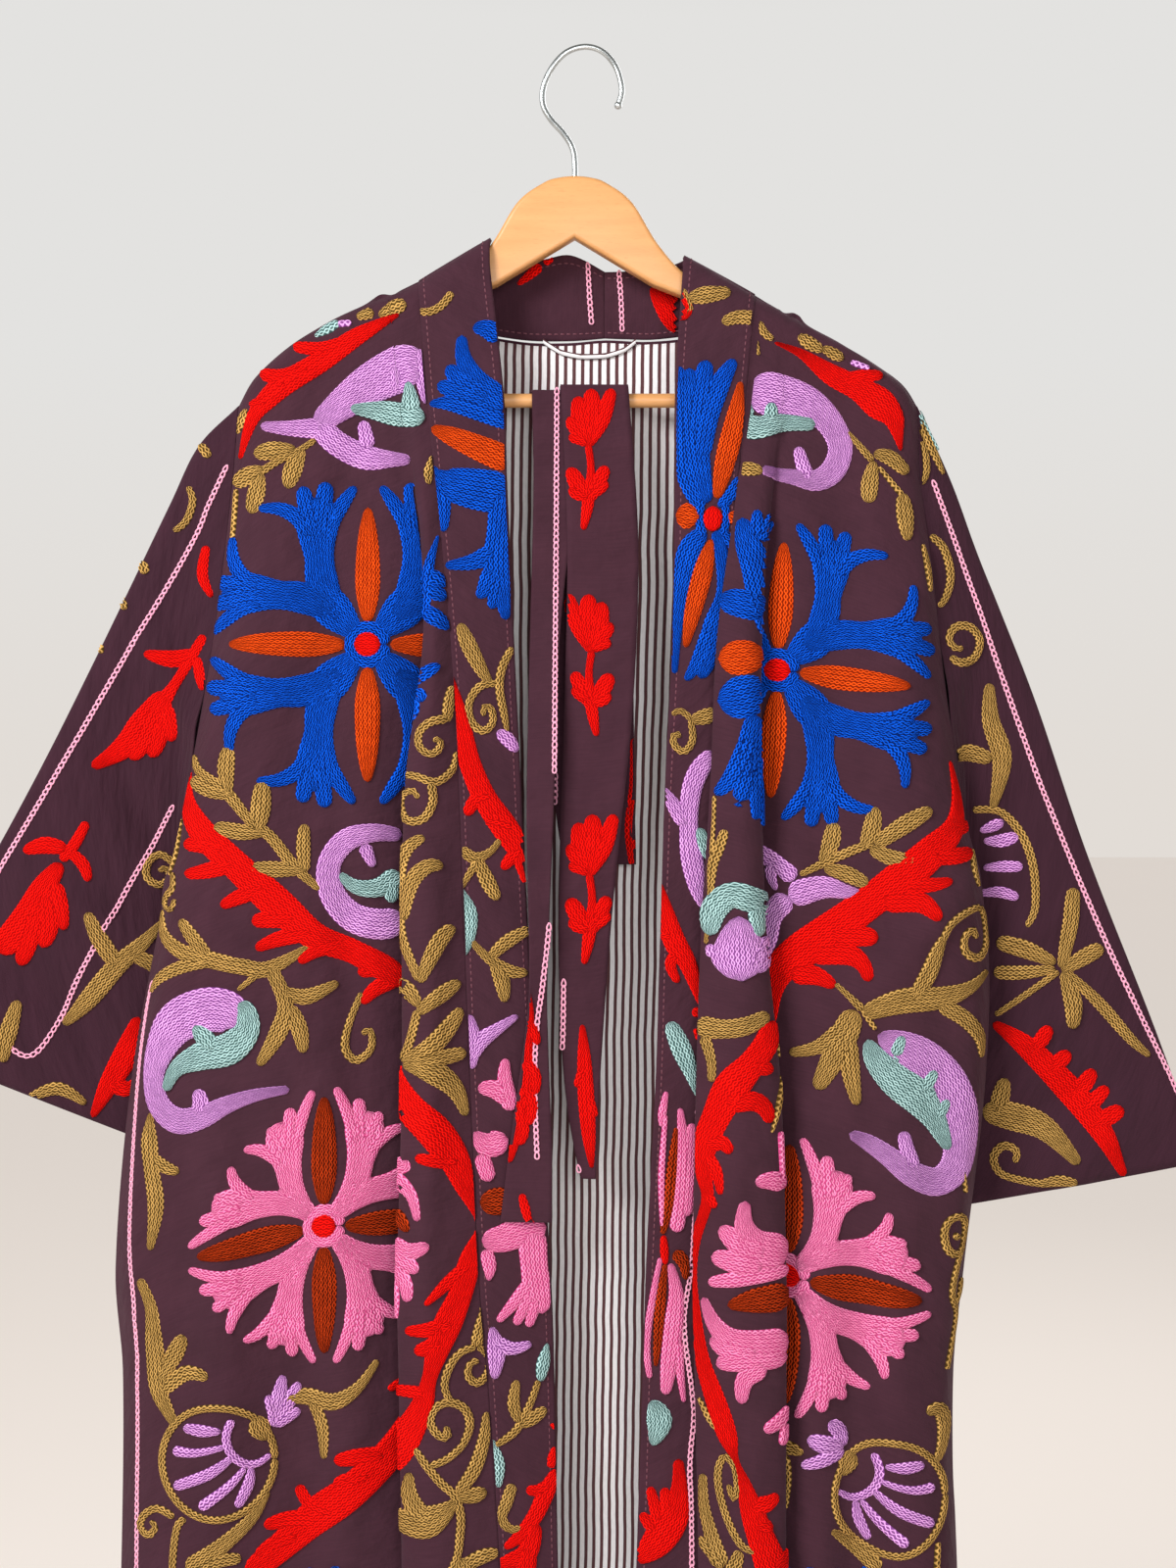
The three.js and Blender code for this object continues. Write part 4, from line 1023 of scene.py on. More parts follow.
def paisley(cx, cy, hand):
    """A teardrop with a long curled tail in lilac, inlaid with a toothed mint leaf."""
    def put(stroke):
        return [(cx + hand * x, cy + y, w) for x, y, w in stroke]
    body = [(96, 31, 8), (62, 37, 13), (32, 47, 18), (5, 60, 24), (-20, 64, 27), (-39, 48, 24),
        (-45, 20, 22), (-37, -10, 32), (-20, -36, 44), (10, -49, 46), (36, -46, 42), (50, -34, 22)]
    knob = [(0, 32, 14), (5, 44, 17), (2, 58, 18)]
    leaf = [(-32, 34, 9), (-20, 11, 17), (5, -2, 29), (34, -10, 33), (52, -28, 27), (52, -48, 21),
        (44, -57, 12)]
    tooth = [(-3, -32, 12), (8, -22, 20), (16, -8, 18)]
    return flat("lilac", put(body), put(knob)) + raised("mint", put(leaf), put(tooth))


def tulip(x, y, size=1.0, hand=1):
    """A red tulip in side view: a fan of rounded petals, a stem and a pair of lobed leaves."""
    head = [[(0, 62, 8), (14, 34, 18), (25, 2, 11)], [(0, 62, 8), (4, 32, 22), (3, 2, 14)],
            [(0, 62, 8), (-6, 36, 22), (-11, 10, 13)], [(0, 60, 8), (-10, 44, 18), (-21, 32, 13)],
            [(0, 60, 8), (-10, 54, 12), (-20, 52, 11)]]
    stem = [[(0, 60, 8), (3, 85, 8), (0, 120, 13), (-5, 148, 6)], [(0, 118, 12), (-12, 98, 18),
        (-20, 84, 13)], [(0, 118, 12), (10, 100, 16), (19, 82, 12)], [(0, 114, 12), (-12, 110, 14),
        (-19, 104, 9)], [(2, 112, 12), (14, 104, 12), (20, 98, 8)]]
    return flat("red", *[[(x + hand * px * size, y + py * size, w * size) for px, py, w in part]
                         for part in head + stem])

# The left front's pattern, on the outer part of the panel and on its long pleat.
front_unit, sleeve_unit, neck_unit, belt_unit = 0.6533, 0.674, 0.677, 0.657
shoulder_left = flat("red", [(405, 315, 4), (362, 338, 19), (328, 362, 22), (293, 384, 24),
    (271, 402, 22), (254, 424, 14), (241, 464, 4)], [(352, 343, 14), (325, 351, 15), (296, 349, 11)],
    [(312, 372, 18), (285, 381, 18), (262, 376, 12)], [(290, 388, 16), (268, 404, 14), (251, 409, 9)])
shoulder_left += flat(
    "lilac", [(320, 432, 22), (348, 408, 34), (382, 384, 44), (412, 371, 50), (432, 372, 46)],
    [(426, 352, 14), (431, 380, 20), (434, 409, 8)], [(400, 370, 20), (402, 385, 20), (400, 398, 12)],
    [(322, 430, 24), (342, 450, 26), (372, 464, 26), (400, 466, 16), (418, 466, 10)],
    [(368, 426, 13), (371, 440, 15), (374, 455, 18)], [(263, 431, 9), (292, 434, 16), (328, 434, 24)])
shoulder_left += raised("mint", [(355, 414, 9), (378, 415, 19), (402, 419, 25), (432, 424, 20)],
                        [(415, 386, 7), (417, 402, 16), (418, 418, 24)])
shoulder_left += flat("mint", [(318, 338, 3), (330, 331, 10), (343, 323, 8)]) + flat(
    "lilac", [(340, 325, 7), (356, 324, 7)])
shoulder_left += flat("olive", [(361, 318, 8), (379, 313, 15)], [(384, 317, 7), (398, 310, 16),
    (412, 303, 15)], [(320, 446, 7), (300, 459, 7), (278, 470, 8), (262, 480, 10)], [(256, 460, 14),
    (276, 457, 20), (300, 456, 9)], [(292, 497, 12), (297, 477, 21), (307, 455, 9)], [(234, 490, 18),
    (250, 482, 20), (268, 476, 9)], [(254, 522, 14), (259, 500, 20), (264, 480, 9)], [(237, 495, 6),
    (235, 530, 6), (231, 575, 4)], [(236, 437, 5), (242, 424, 12), (247, 412, 4)])
left_paisley = paisley(200, 1080, 1)
left_sprig = flat("olive", [(192, 770, 6), (200, 787, 10), (230, 808, 13), (255, 837, 11), (276, 854, 12),
    (300, 884, 12), (326, 908, 7)], [(190, 796, 16), (215, 806, 18), (240, 812, 9)], [(233, 762, 15),
    (230, 786, 19), (233, 810, 10)], [(268, 797, 15), (266, 825, 21), (263, 850, 11)], [(218, 844, 14),
    (246, 849, 17), (272, 849, 9)], [(310, 841, 11), (309, 866, 15), (311, 890, 10)], [(254, 886, 12),
    (280, 887, 17), (312, 888, 10)], [(178, 832, 4), (174, 870, 5), (166, 895, 4)], [(172, 892, 5),
    (174, 908, 7), (166, 916, 7), (164, 926, 6), (173, 929, 6), (178, 918, 5)])
left_vine = flat(
    "red", [(186, 783, 5), (185, 815, 18), (204, 848, 28), (242, 884, 30), (285, 924, 34), (322, 956, 28),
            (360, 972, 25), (392, 990, 26), (412, 1006, 18)],
    [(228, 868, 20), (205, 862, 18), (185, 863, 13)], [(238, 882, 18), (210, 889, 16), (187, 893, 10)],
    [(270, 906, 16), (245, 915, 16), (225, 925, 9)], [(300, 938, 18), (278, 938, 18), (257, 940, 14)],
    [(318, 952, 16), (285, 958, 16), (261, 968, 9)], [(350, 962, 18), (322, 970, 15), (305, 982, 9)],
    [(398, 990, 18), (382, 990, 16), (364, 993, 13)], [(404, 1000, 18), (382, 1010, 16), (368, 1025, 9)])
left_branch = flat("olive", [(158, 930, 4), (163, 955, 13), (185, 972, 17), (215, 979, 19),
    (250, 986, 17), (275, 988, 16), (322, 962, 5)], [(148, 1016, 3), (160, 1000, 11), (185, 987, 14),
    (215, 981, 12)], [(184, 938, 10), (198, 958, 17), (214, 976, 12)], [(276, 986, 14), (292, 1024, 17),
    (284, 1054, 19), (264, 1087, 9)], [(296, 1026, 14), (306, 1050, 18), (310, 1074, 10)],
    [(288, 1010, 10), (312, 1017, 17), (344, 1003, 8)], [(268, 990, 8), (243, 1010, 5)], [(368, 1014, 7),
    (355, 1045, 8), (351, 1070, 9), (362, 1083, 9), (377, 1072, 8), (377, 1053, 7), (368, 1056, 7)])
left_leaves = flat("olive", [(152, 1137, 4), (151, 1165, 18), (153, 1192, 17), (158, 1232, 18),
    (152, 1277, 7)], [(155, 1182, 12), (168, 1192, 14), (183, 1196, 8)], [(141, 1307, 10),
    (154, 1338, 14), (157, 1380, 21), (162, 1420, 20), (180, 1456, 8)], [(189, 1361, 13), (178, 1382, 19),
    (162, 1410, 12)], [(214, 1404, 9), (190, 1401, 16), (166, 1420, 14)], [(190, 1548, 8), (182, 1556, 8),
    (178, 1576, 8), (176, 1602, 8)], [(178, 1548, 8), (160, 1541, 8), (145, 1550, 8), (141, 1563, 8),
    (150, 1570, 8), (158, 1560, 7), (152, 1555, 5)], [(273, 1524, 5), (256, 1550, 13), (228, 1575, 17),
    (192, 1602, 24)], [(246, 1590, 12), (218, 1592, 15), (200, 1604, 12)], [(290, 1430, 10),
    (312, 1428, 18), (340, 1431, 18), (365, 1416, 12), (384, 1390, 7)], [(316, 1430, 12), (328, 1456, 14),
    (330, 1491, 7)])
left_tulip = flat("lilac", [(278, 1458, 14), (283, 1430, 17), (287, 1406, 8)], [(278, 1456, 12),
    (292, 1434, 16), (304, 1414, 8)], [(278, 1457, 12), (292, 1448, 14), (305, 1442, 8)], [(272, 1425, 8),
    (276, 1440, 10), (279, 1456, 8)])
lower_vine = flat("red", [(492, 1250, 6), (481, 1280, 22), (471, 1315, 24), (458, 1345, 29),
    (447, 1375, 22), (440, 1400, 15), (432, 1430, 23), (412, 1468, 32), (392, 1492, 34), (358, 1523, 36),
    (320, 1552, 36), (285, 1582, 30), (252, 1608, 24)], [(478, 1287, 14), (456, 1305, 13),
    (436, 1324, 5)], [(462, 1345, 20), (436, 1350, 15), (416, 1353, 9)], [(452, 1362, 20),
    (426, 1373, 12)], [(436, 1414, 14), (412, 1415, 12), (394, 1422, 7)], [(390, 1488, 18),
    (362, 1488, 18), (341, 1492, 12)], [(375, 1508, 16), (350, 1512, 14), (341, 1518, 8)],
    [(340, 1546, 16), (315, 1540, 14), (302, 1520, 11)], [(322, 1556, 22), (290, 1555, 18),
    (268, 1559, 11)], [(302, 1572, 18), (278, 1578, 16), (260, 1589, 9)])
panel_left = (rosette(374, 657, 1.0, "blue", "orange", broad_fingers) + rosette(331, 1250, 0.93, "pink",
    "rust", slim_fingers, across=(0.98, 0.0), spindle_width=28,
    droop=0.24) + left_paisley + left_sprig + left_vine + left_branch + left_leaves + left_tulip
    + ring_flower(222, 1491, 1) + lower_vine)
panel_left += flat("lilac", [(408, 853, 13), (380, 850, 19), (352, 858, 24), (335, 882, 24),
    (338, 912, 26), (358, 936, 30), (388, 944, 32), (410, 938, 30)], [(370, 862, 16), (380, 885, 8)])
panel_left += raised("mint", [(345, 892, 8), (362, 905, 15), (385, 906, 20), (406, 892, 24)],
    [(396, 900, 20), (398, 922, 12)])
# Towards the hem the pattern starts over.
hem_left = (rosette(300, 1760, 0.95, "blue", "orange", broad_fingers) + moved(left_paisley, 10, 880)
            + moved(left_vine, 10, 1010) + moved(left_sprig, 0, 1060) + moved(left_branch, 60, 1060))
hem_right = turned(hem_left, 585)
ridge_left = flat(
    "blue", [(446, 546, 3), (438, 580, 10), (434, 630, 12)], [(434, 585, 12), (446, 591, 16), (455, 598, 9)],
    [(434, 600, 14), (446, 606, 17), (455, 611, 10)], [(433, 622, 14), (446, 632, 18), (458, 642, 8)],
    [(449, 679, 8), (436, 687, 14), (421, 697, 12)], [(422, 706, 10), (430, 711, 17), (433, 717, 9)],
    [(424, 712, 10), (424, 726, 12), (417, 738, 6)], [(410, 790, 12), (408, 812, 6)])
ridge_left += flat("olive", [(441, 463, 6), (436, 480, 10), (437, 493, 5)], [(462, 700, 10),
    (458, 718, 12), (456, 737, 10)], [(457, 734, 10), (441, 737, 9), (430, 748, 8), (430, 762, 8),
    (440, 770, 8), (449, 764, 8), (449, 754, 6), (443, 757, 5)], [(466, 767, 7), (462, 785, 8),
    (446, 798, 9), (426, 792, 8), (408, 790, 7)], [(441, 799, 9), (443, 818, 9), (434, 835, 9),
    (418, 837, 9), (411, 824, 8), (413, 811, 7), (424, 807, 7), (429, 815, 5)], [(435, 853, 9),
    (418, 865, 14), (410, 886, 14), (409, 920, 13), (411, 950, 11), (420, 975, 10), (431, 998, 10)],
    [(453, 883, 10), (438, 883, 15), (422, 900, 17), (413, 938, 11)], [(464, 944, 12), (452, 955, 17),
    (440, 978, 15), (431, 1000, 9)], [(470, 1000, 10), (455, 1010, 17), (440, 1021, 14), (429, 1031, 9)],
    [(405, 1002, 20), (420, 1010, 18), (431, 1024, 9)], [(405, 1008, 7), (404, 1030, 5), (403, 1052, 3)],
    [(429, 1028, 9), (421, 1060, 9), (413, 1080, 8)], [(412, 1080, 8), (440, 1066, 19), (460, 1044, 18),
    (471, 1027, 10)], [(414, 1081, 8), (445, 1077, 17), (476, 1072, 13)], [(414, 1084, 8),
    (445, 1091, 23), (466, 1110, 18), (476, 1136, 8)], [(501, 1318, 6), (493, 1345, 14), (486, 1370, 14)],
    [(486, 1370, 8), (470, 1375, 8), (459, 1390, 9), (455, 1408, 8), (461, 1424, 7)], [(488, 1370, 7),
    (499, 1381, 8), (498, 1398, 9), (487, 1407, 9), (478, 1398, 8), (481, 1386, 7), (489, 1385, 7)],
    [(472, 1471, 8), (480, 1450, 9), (475, 1432, 9), (460, 1424, 9), (446, 1429, 9), (441, 1443, 9),
    (448, 1456, 9), (458, 1459, 9), (456, 1448, 7)], [(474, 1468, 8), (458, 1481, 8), (441, 1488, 8)],
    [(422, 1467, 6), (437, 1488, 9), (452, 1506, 9), (465, 1519, 9), (471, 1540, 9), (470, 1562, 9),
    (467, 1582, 8), (455, 1606, 7)], [(497, 1437, 8), (494, 1465, 13), (484, 1495, 15), (468, 1516, 12)],
    [(497, 1517, 11), (485, 1520, 17), (466, 1521, 10)], [(420, 1497, 8), (420, 1520, 18),
    (432, 1540, 25), (450, 1536, 20), (468, 1525, 10)], [(394, 1546, 20), (416, 1549, 26),
    (440, 1548, 26), (464, 1530, 10)], [(396, 1546, 18), (365, 1560, 10), (335, 1576, 8), (308, 1604, 6)],
    [(510, 1580, 9), (492, 1583, 16), (470, 1592, 12)], [(470, 1583, 20), (480, 1608, 24)])
ridge_left += flat("red", [(401, 1060, 3), (407, 1095, 14), (420, 1125, 32), (445, 1150, 34),
    (463, 1176, 30), (475, 1205, 22), (484, 1226, 14), (492, 1246, 7)], [(468, 1182, 18), (446, 1179, 14),
    (427, 1176, 10)])
ridge_left += flat("pink", [(405, 1155, 5), (406, 1180, 8)], [(400, 1188, 24), (415, 1186, 14),
    (418, 1180, 8)], [(402, 1200, 24), (416, 1208, 16), (424, 1218, 12), (429, 1240, 7)],
    [(400, 1268, 26), (420, 1272, 18), (440, 1263, 10)], [(402, 1276, 20), (420, 1285, 18),
    (429, 1292, 12)], [(402, 1290, 22), (416, 1304, 16), (418, 1323, 10)], [(400, 1300, 14),
    (405, 1320, 10), (406, 1343, 4)], [(396, 1345, 12), (398, 1370, 8)])
ridge_left += flat("rust", [(402, 1235, 22), (412, 1243, 16), (419, 1252, 8)])

# The left run of the neckband: parts of two rosettes, a vine, sprigs and small leaves.
band_left = flat("olive", [(425, 313, 8), (438, 313, 9), (450, 306, 9), (460, 293, 9)], [(469, 636, 9),
    (477, 656, 17), (490, 682, 14), (500, 698, 7)], [(522, 660, 8), (512, 680, 9), (509, 702, 9),
    (514, 730, 8), (517, 747, 4)], [(506, 697, 8), (490, 700, 9), (479, 716, 8), (480, 735, 9),
    (492, 746, 9), (502, 738, 8), (501, 724, 8), (494, 721, 7), (493, 731, 6)], [(470, 866, 13),
    (484, 875, 12), (500, 869, 8), (511, 855, 6)], [(471, 906, 5), (480, 890, 8), (490, 875, 10)],
    [(486, 874, 10), (498, 900, 16), (508, 918, 10)], [(481, 959, 6), (497, 976, 10), (518, 990, 14),
    (538, 993, 8)], [(500, 976, 10), (518, 960, 15), (540, 948, 10)], [(504, 980, 12), (512, 1000, 17),
    (515, 1022, 9)], [(549, 1408, 7), (541, 1430, 8), (528, 1455, 9), (515, 1466, 8), (502, 1473, 5)],
    [(527, 1406, 8), (524, 1430, 13), (530, 1449, 9)], [(557, 1437, 10), (543, 1446, 15), (530, 1453, 8)],
    [(523, 1511, 12), (517, 1530, 13), (512, 1545, 11), (521, 1557, 9), (537, 1556, 6)])
band_left += flat("blue", [(481, 331, 10), (495, 331, 20), (511, 339, 28)], [(470, 338, 10),
    (472, 362, 17), (487, 388, 26), (518, 412, 34)], [(455, 370, 14), (470, 385, 21), (498, 402, 28)],
    [(445, 389, 13), (465, 396, 20), (495, 406, 24)], [(437, 409, 6), (460, 409, 17), (490, 418, 20),
    (520, 430, 16)], [(441, 474, 6), (446, 492, 18), (450, 515, 20), (452, 542, 9)], [(442, 478, 12),
    (452, 490, 30), (480, 497, 42), (522, 503, 46)], [(513, 502, 30), (509, 540, 26), (507, 575, 30),
    (510, 600, 22), (516, 632, 8)], [(503, 562, 22), (482, 573, 17), (454, 577, 8)], [(502, 580, 22),
    (494, 600, 16), (487, 610, 9)], [(507, 588, 18), (501, 621, 10)])
band_left += flat("orange", [(439, 434, 8), (460, 443, 20), (490, 456, 27), (522, 469, 30)])
band_left += flat("red", [(461, 690, 3), (465, 715, 14), (471, 745, 21), (480, 780, 22), (495, 815, 24),
    (515, 845, 27), (530, 870, 22), (537, 902, 9)], [(500, 812, 18), (485, 817, 15), (476, 832, 10)],
    [(522, 845, 18), (508, 840, 15), (495, 838, 9)], [(530, 866, 16), (520, 877, 13), (512, 887, 9)],
    [(562, 1453, 5), (565, 1459, 3)], [(566, 1477, 8), (563, 1492, 13), (558, 1496, 6)], [(568, 1500, 10),
    (558, 1520, 18), (546, 1545, 17), (530, 1565, 14), (515, 1576, 7)], [(560, 1515, 15), (547, 1520, 12),
    (537, 1517, 10)], [(545, 1552, 17), (538, 1582, 22), (520, 1590, 17), (507, 1593, 9)],
    [(537, 1575, 20), (537, 1605, 22)])
band_left += flat("mint", [(468, 906, 8), (476, 930, 22), (477, 955, 17), (474, 974, 5)], [(558, 1371, 3),
    (554, 1390, 14), (551, 1409, 8)], [(503, 1466, 4), (510, 1490, 11), (509, 1514, 6)])
band_left += flat("lilac", [(507, 746, 10), (518, 755, 15), (527, 767, 8)], [(479, 1034, 8),
    (483, 1060, 17), (482, 1089, 8)], [(528, 1036, 6), (506, 1050, 13), (490, 1062, 17), (481, 1082, 9)],
    [(502, 1351, 6), (507, 1375, 19), (505, 1404, 8)], [(505, 1366, 17), (522, 1374, 14), (542, 1370, 8)])
band_left += flat("pink", [(488, 1109, 12), (505, 1110, 19), (524, 1122, 22)], [(516, 1079, 8),
    (515, 1100, 15), (522, 1132, 18)], [(484, 1153, 7), (498, 1166, 26), (518, 1160, 24)],
    [(491, 1175, 17), (500, 1203, 16)], [(492, 1263, 20), (512, 1262, 28), (530, 1256, 32),
    (556, 1252, 36)], [(496, 1272, 13), (500, 1290, 14), (499, 1304, 4)], [(543, 1256, 32),
    (545, 1290, 28), (549, 1318, 30), (553, 1340, 18)], [(540, 1308, 15), (525, 1327, 13),
    (508, 1346, 7)], [(541, 1320, 15), (526, 1350, 9)], [(547, 1325, 15), (539, 1353, 9)])
band_left += flat("rust", [(490, 1224, 22), (505, 1224, 28), (524, 1222, 28)])
band_hem = [each for each in moved(band_left, 60, 1290) if min(y for _, y, _ in each[2]) > 1610]

# The right front's pattern: the same motifs turned over, cut by a deeper pleat.
shoulder_right = flat("red", [(792, 345, 3), (820, 356, 10), (850, 377, 22), (878, 392, 25),
    (900, 408, 34), (914, 422, 24), (919, 440, 12), (922, 457, 3)], [(862, 386, 18), (884, 380, 15),
    (904, 379, 9)])
shoulder_right += flat("lilac", [(764, 396, 44), (795, 400, 46), (825, 408, 38), (848, 426, 29),
    (860, 452, 26), (853, 476, 26), (834, 488, 22), (810, 484, 16), (777, 478, 10)], [(816, 453, 11),
    (821, 472, 15), (828, 488, 15)], [(757, 396, 20), (768, 382, 24)])
shoulder_right += raised("mint", [(755, 430, 30), (775, 434, 24), (800, 428, 19), (834, 430, 13)],
    [(788, 408, 10), (788, 425, 18)], [(761, 405, 10), (763, 425, 22)])
shoulder_right += flat("olive", [(754, 477, 13), (766, 477, 15), (779, 480, 9)], [(817, 337, 8),
    (828, 345, 15), (843, 353, 8)], [(842, 350, 8), (855, 357, 13), (864, 362, 6)], [(868, 437, 4),
    (880, 452, 7), (893, 468, 8)], [(889, 511, 14), (890, 490, 18), (894, 468, 9)], [(894, 460, 10),
    (912, 465, 17), (929, 480, 12)], [(899, 474, 5), (912, 490, 6), (923, 503, 7)], [(928, 550, 10),
    (926, 525, 19), (923, 501, 13)], [(776, 323, 8), (782, 335, 9), (791, 342, 7)], [(773, 343, 6),
    (776, 358, 4)])
shoulder_right += flat("lilac", [(871, 365, 6), (890, 372, 6)])
shoulder_right += flat("olive", [(944, 553, 4), (950, 580, 8), (952, 602, 4)])
right_paisley = flat("lilac", [(895, 1056, 12), (918, 1067, 34), (943, 1084, 46), (963, 1110, 54),
    (976, 1140, 50), (981, 1170, 38), (974, 1194, 34), (955, 1206, 30), (930, 1197, 26), (905, 1178, 21),
    (885, 1165, 17), (866, 1156, 9)], [(920, 1153, 13), (925, 1174, 16), (932, 1192, 18)])
right_paisley += raised("mint", [(885, 1060, 9), (892, 1078, 24), (912, 1100, 34), (935, 1118, 36),
    (952, 1140, 26), (962, 1160, 17), (968, 1174, 8)], [(908, 1086, 16), (914, 1078, 12)],
    [(945, 1118, 20), (953, 1112, 12)], [(920, 1056, 10), (912, 1076, 16)], [(954, 1092, 11),
    (940, 1112, 18)], [(967, 1122, 10), (956, 1140, 16)])
right_sprig = flat("olive", [(817, 893, 6), (840, 882, 9), (870, 868, 10), (892, 860, 8)],
    [(852, 839, 14), (849, 860, 19), (840, 882, 10)], [(886, 903, 12), (865, 892, 17), (842, 886, 10)],
    [(893, 823, 12), (890, 845, 19), (882, 866, 12)], [(951, 826, 12), (925, 840, 19), (893, 862, 14)],
    [(934, 878, 12), (912, 876, 17), (888, 866, 12)])
right_vine = flat("red", [(973, 776, 3), (980, 815, 13), (975, 845, 24), (950, 870, 34), (920, 895, 36),
    (888, 920, 34), (855, 945, 36), (820, 970, 38), (798, 990, 32), (788, 1012, 26), (786, 1040, 18),
    (784, 1062, 10)], [(975, 845, 20), (996, 844, 13)], [(948, 872, 22), (975, 874, 18), (997, 871, 14)],
    [(925, 902, 18), (950, 903, 15), (972, 899, 8)], [(900, 920, 24), (935, 920, 22), (950, 929, 17),
    (957, 939, 11)], [(850, 955, 24), (875, 955, 22), (896, 957, 17)], [(828, 975, 22), (865, 974, 22),
    (881, 985, 16), (886, 1001, 11)], [(808, 993, 26), (835, 997, 19), (853, 1007, 10)])
right_branch = flat("olive", [(853, 1004, 5), (868, 1018, 7), (880, 1030, 10)], [(872, 1030, 20),
    (862, 1055, 28), (848, 1085, 23), (834, 1112, 13)], [(862, 1048, 20), (836, 1069, 15),
    (807, 1076, 9)], [(865, 1060, 20), (868, 1095, 19), (874, 1127, 10)], [(880, 1034, 16),
    (918, 1021, 26), (960, 1018, 23), (990, 1009, 14), (1013, 993, 6)], [(930, 1020, 14), (946, 994, 19),
    (955, 970, 15), (962, 953, 6)], [(958, 1025, 16), (985, 1040, 17), (1002, 1060, 14), (1005, 1082, 6)],
    [(879, 1030, 6), (893, 1050, 6)], [(960, 960, 8), (968, 944, 8), (985, 932, 8), (1004, 928, 7),
    (1011, 945, 7), (1011, 968, 8), (1000, 979, 9), (986, 972, 9), (985, 957, 8), (994, 950, 8),
    (998, 959, 6)], [(998, 868, 6), (998, 888, 7), (1003, 906, 4)])
right_leaves = flat("olive", [(984, 1196, 4), (987, 1220, 5)], [(985, 1275, 6), (988, 1255, 8),
    (982, 1244, 8), (970, 1246, 8), (964, 1258, 9), (967, 1275, 9), (977, 1283, 8), (987, 1278, 6)],
    [(974, 1266, 9), (980, 1262, 10)], [(986, 1272, 6), (977, 1300, 7), (973, 1325, 7), (979, 1346, 6),
    (975, 1372, 6), (968, 1402, 6)], [(985, 1311, 7), (984, 1325, 7), (978, 1337, 5)], [(945, 1442, 11),
    (958, 1440, 15), (965, 1455, 17), (962, 1480, 12), (955, 1494, 8)], [(849, 1565, 6), (870, 1580, 15),
    (900, 1604, 20)], [(957, 1575, 6), (955, 1606, 7)], [(798, 1483, 15), (808, 1482, 15),
    (821, 1485, 8)], [(802, 1490, 12), (806, 1512, 8), (804, 1545, 5)])
right_tulip = flat("lilac", [(819, 1498, 9), (840, 1491, 15), (861, 1482, 16)], [(825, 1469, 14),
    (842, 1475, 19), (861, 1480, 14)], [(846, 1452, 13), (857, 1463, 17), (862, 1479, 12)])
panel_right = (rosette(795, 683, 0.95, "blue", "orange", broad_fingers, across=(1.0, 0.13),
    down=(-0.05, 0.98), spindles=(0, 1, 2)) + rosette(805, 1304, 0.97, "pink", "rust", slim_fingers,
    across=(0.99, 0.17), down=(-0.02, 0.98), quarters=(0, 1), spindles=(0, 1, 2),
    spindle_width=30) + right_paisley + right_sprig + right_vine + right_branch + right_leaves
    + right_tulip + ring_flower(909, 1530, -1))
panel_right += flat("lilac", [(806, 915, 30), (840, 906, 24), (863, 910, 15), (881, 914, 9)],
    [(812, 898, 22), (800, 886, 17), (786, 876, 18), (772, 867, 14), (761, 863, 7)], [(789, 882, 14),
    (789, 896, 11), (794, 909, 5)], [(768, 990, 24), (782, 960, 26), (790, 935, 22), (806, 915, 28)])
ridge_right = flat("blue", [(758, 528, 12), (762, 552, 24), (772, 580, 32), (778, 612, 32),
    (785, 650, 22)], [(773, 520, 9), (772, 548, 18)], [(788, 523, 8), (776, 552, 16)], [(735, 611, 24),
    (757, 617, 30), (782, 622, 32)], [(733, 716, 38), (757, 712, 44), (785, 702, 32)], [(768, 730, 18),
    (764, 765, 28), (762, 795, 28)], [(764, 752, 20), (748, 790, 20), (730, 811, 10)], [(765, 775, 20),
    (751, 823, 16)], [(768, 770, 18), (769, 802, 17), (769, 836, 9)], [(772, 762, 14), (775, 800, 13),
    (778, 843, 7)])
ridge_right += flat("orange", [(734, 673, 34), (755, 672, 36), (778, 669, 30)])
ridge_right += flat("olive", [(729, 812, 4), (728, 840, 4), (726, 872, 5)], [(739, 846, 9),
    (733, 865, 11), (727, 882, 10), (724, 920, 5), (720, 962, 4)], [(710, 1045, 26), (735, 1047, 20),
    (760, 1043, 19), (782, 1033, 14)], [(718, 1055, 13), (725, 1080, 10), (725, 1101, 8)],
    [(792, 1063, 5), (797, 1095, 5), (792, 1126, 7), (785, 1152, 3)], [(738, 1477, 7), (732, 1492, 8),
    (733, 1515, 8), (742, 1545, 8), (755, 1568, 8), (771, 1575, 6)], [(738, 1477, 7), (748, 1488, 8),
    (751, 1510, 8), (747, 1521, 7), (742, 1507, 6)], [(717, 1499, 8), (718, 1530, 11), (725, 1560, 15),
    (735, 1592, 22)], [(712, 1565, 10), (725, 1576, 15), (737, 1592, 14)], [(753, 1573, 10),
    (748, 1590, 15), (738, 1606, 13)], [(713, 1422, 4), (722, 1440, 7), (729, 1452, 4)])
ridge_right += raised("mint", [(724, 953, 14), (729, 926, 26), (745, 912, 26), (765, 917, 26),
    (785, 923, 20), (797, 921, 9)], [(768, 925, 20), (772, 954, 11)])
ridge_right += flat("lilac", [(723, 962, 8), (727, 975, 14)], [(752, 933, 16), (752, 955, 42),
    (753, 975, 58), (755, 998, 44)], [(768, 990, 24), (784, 955, 22)])
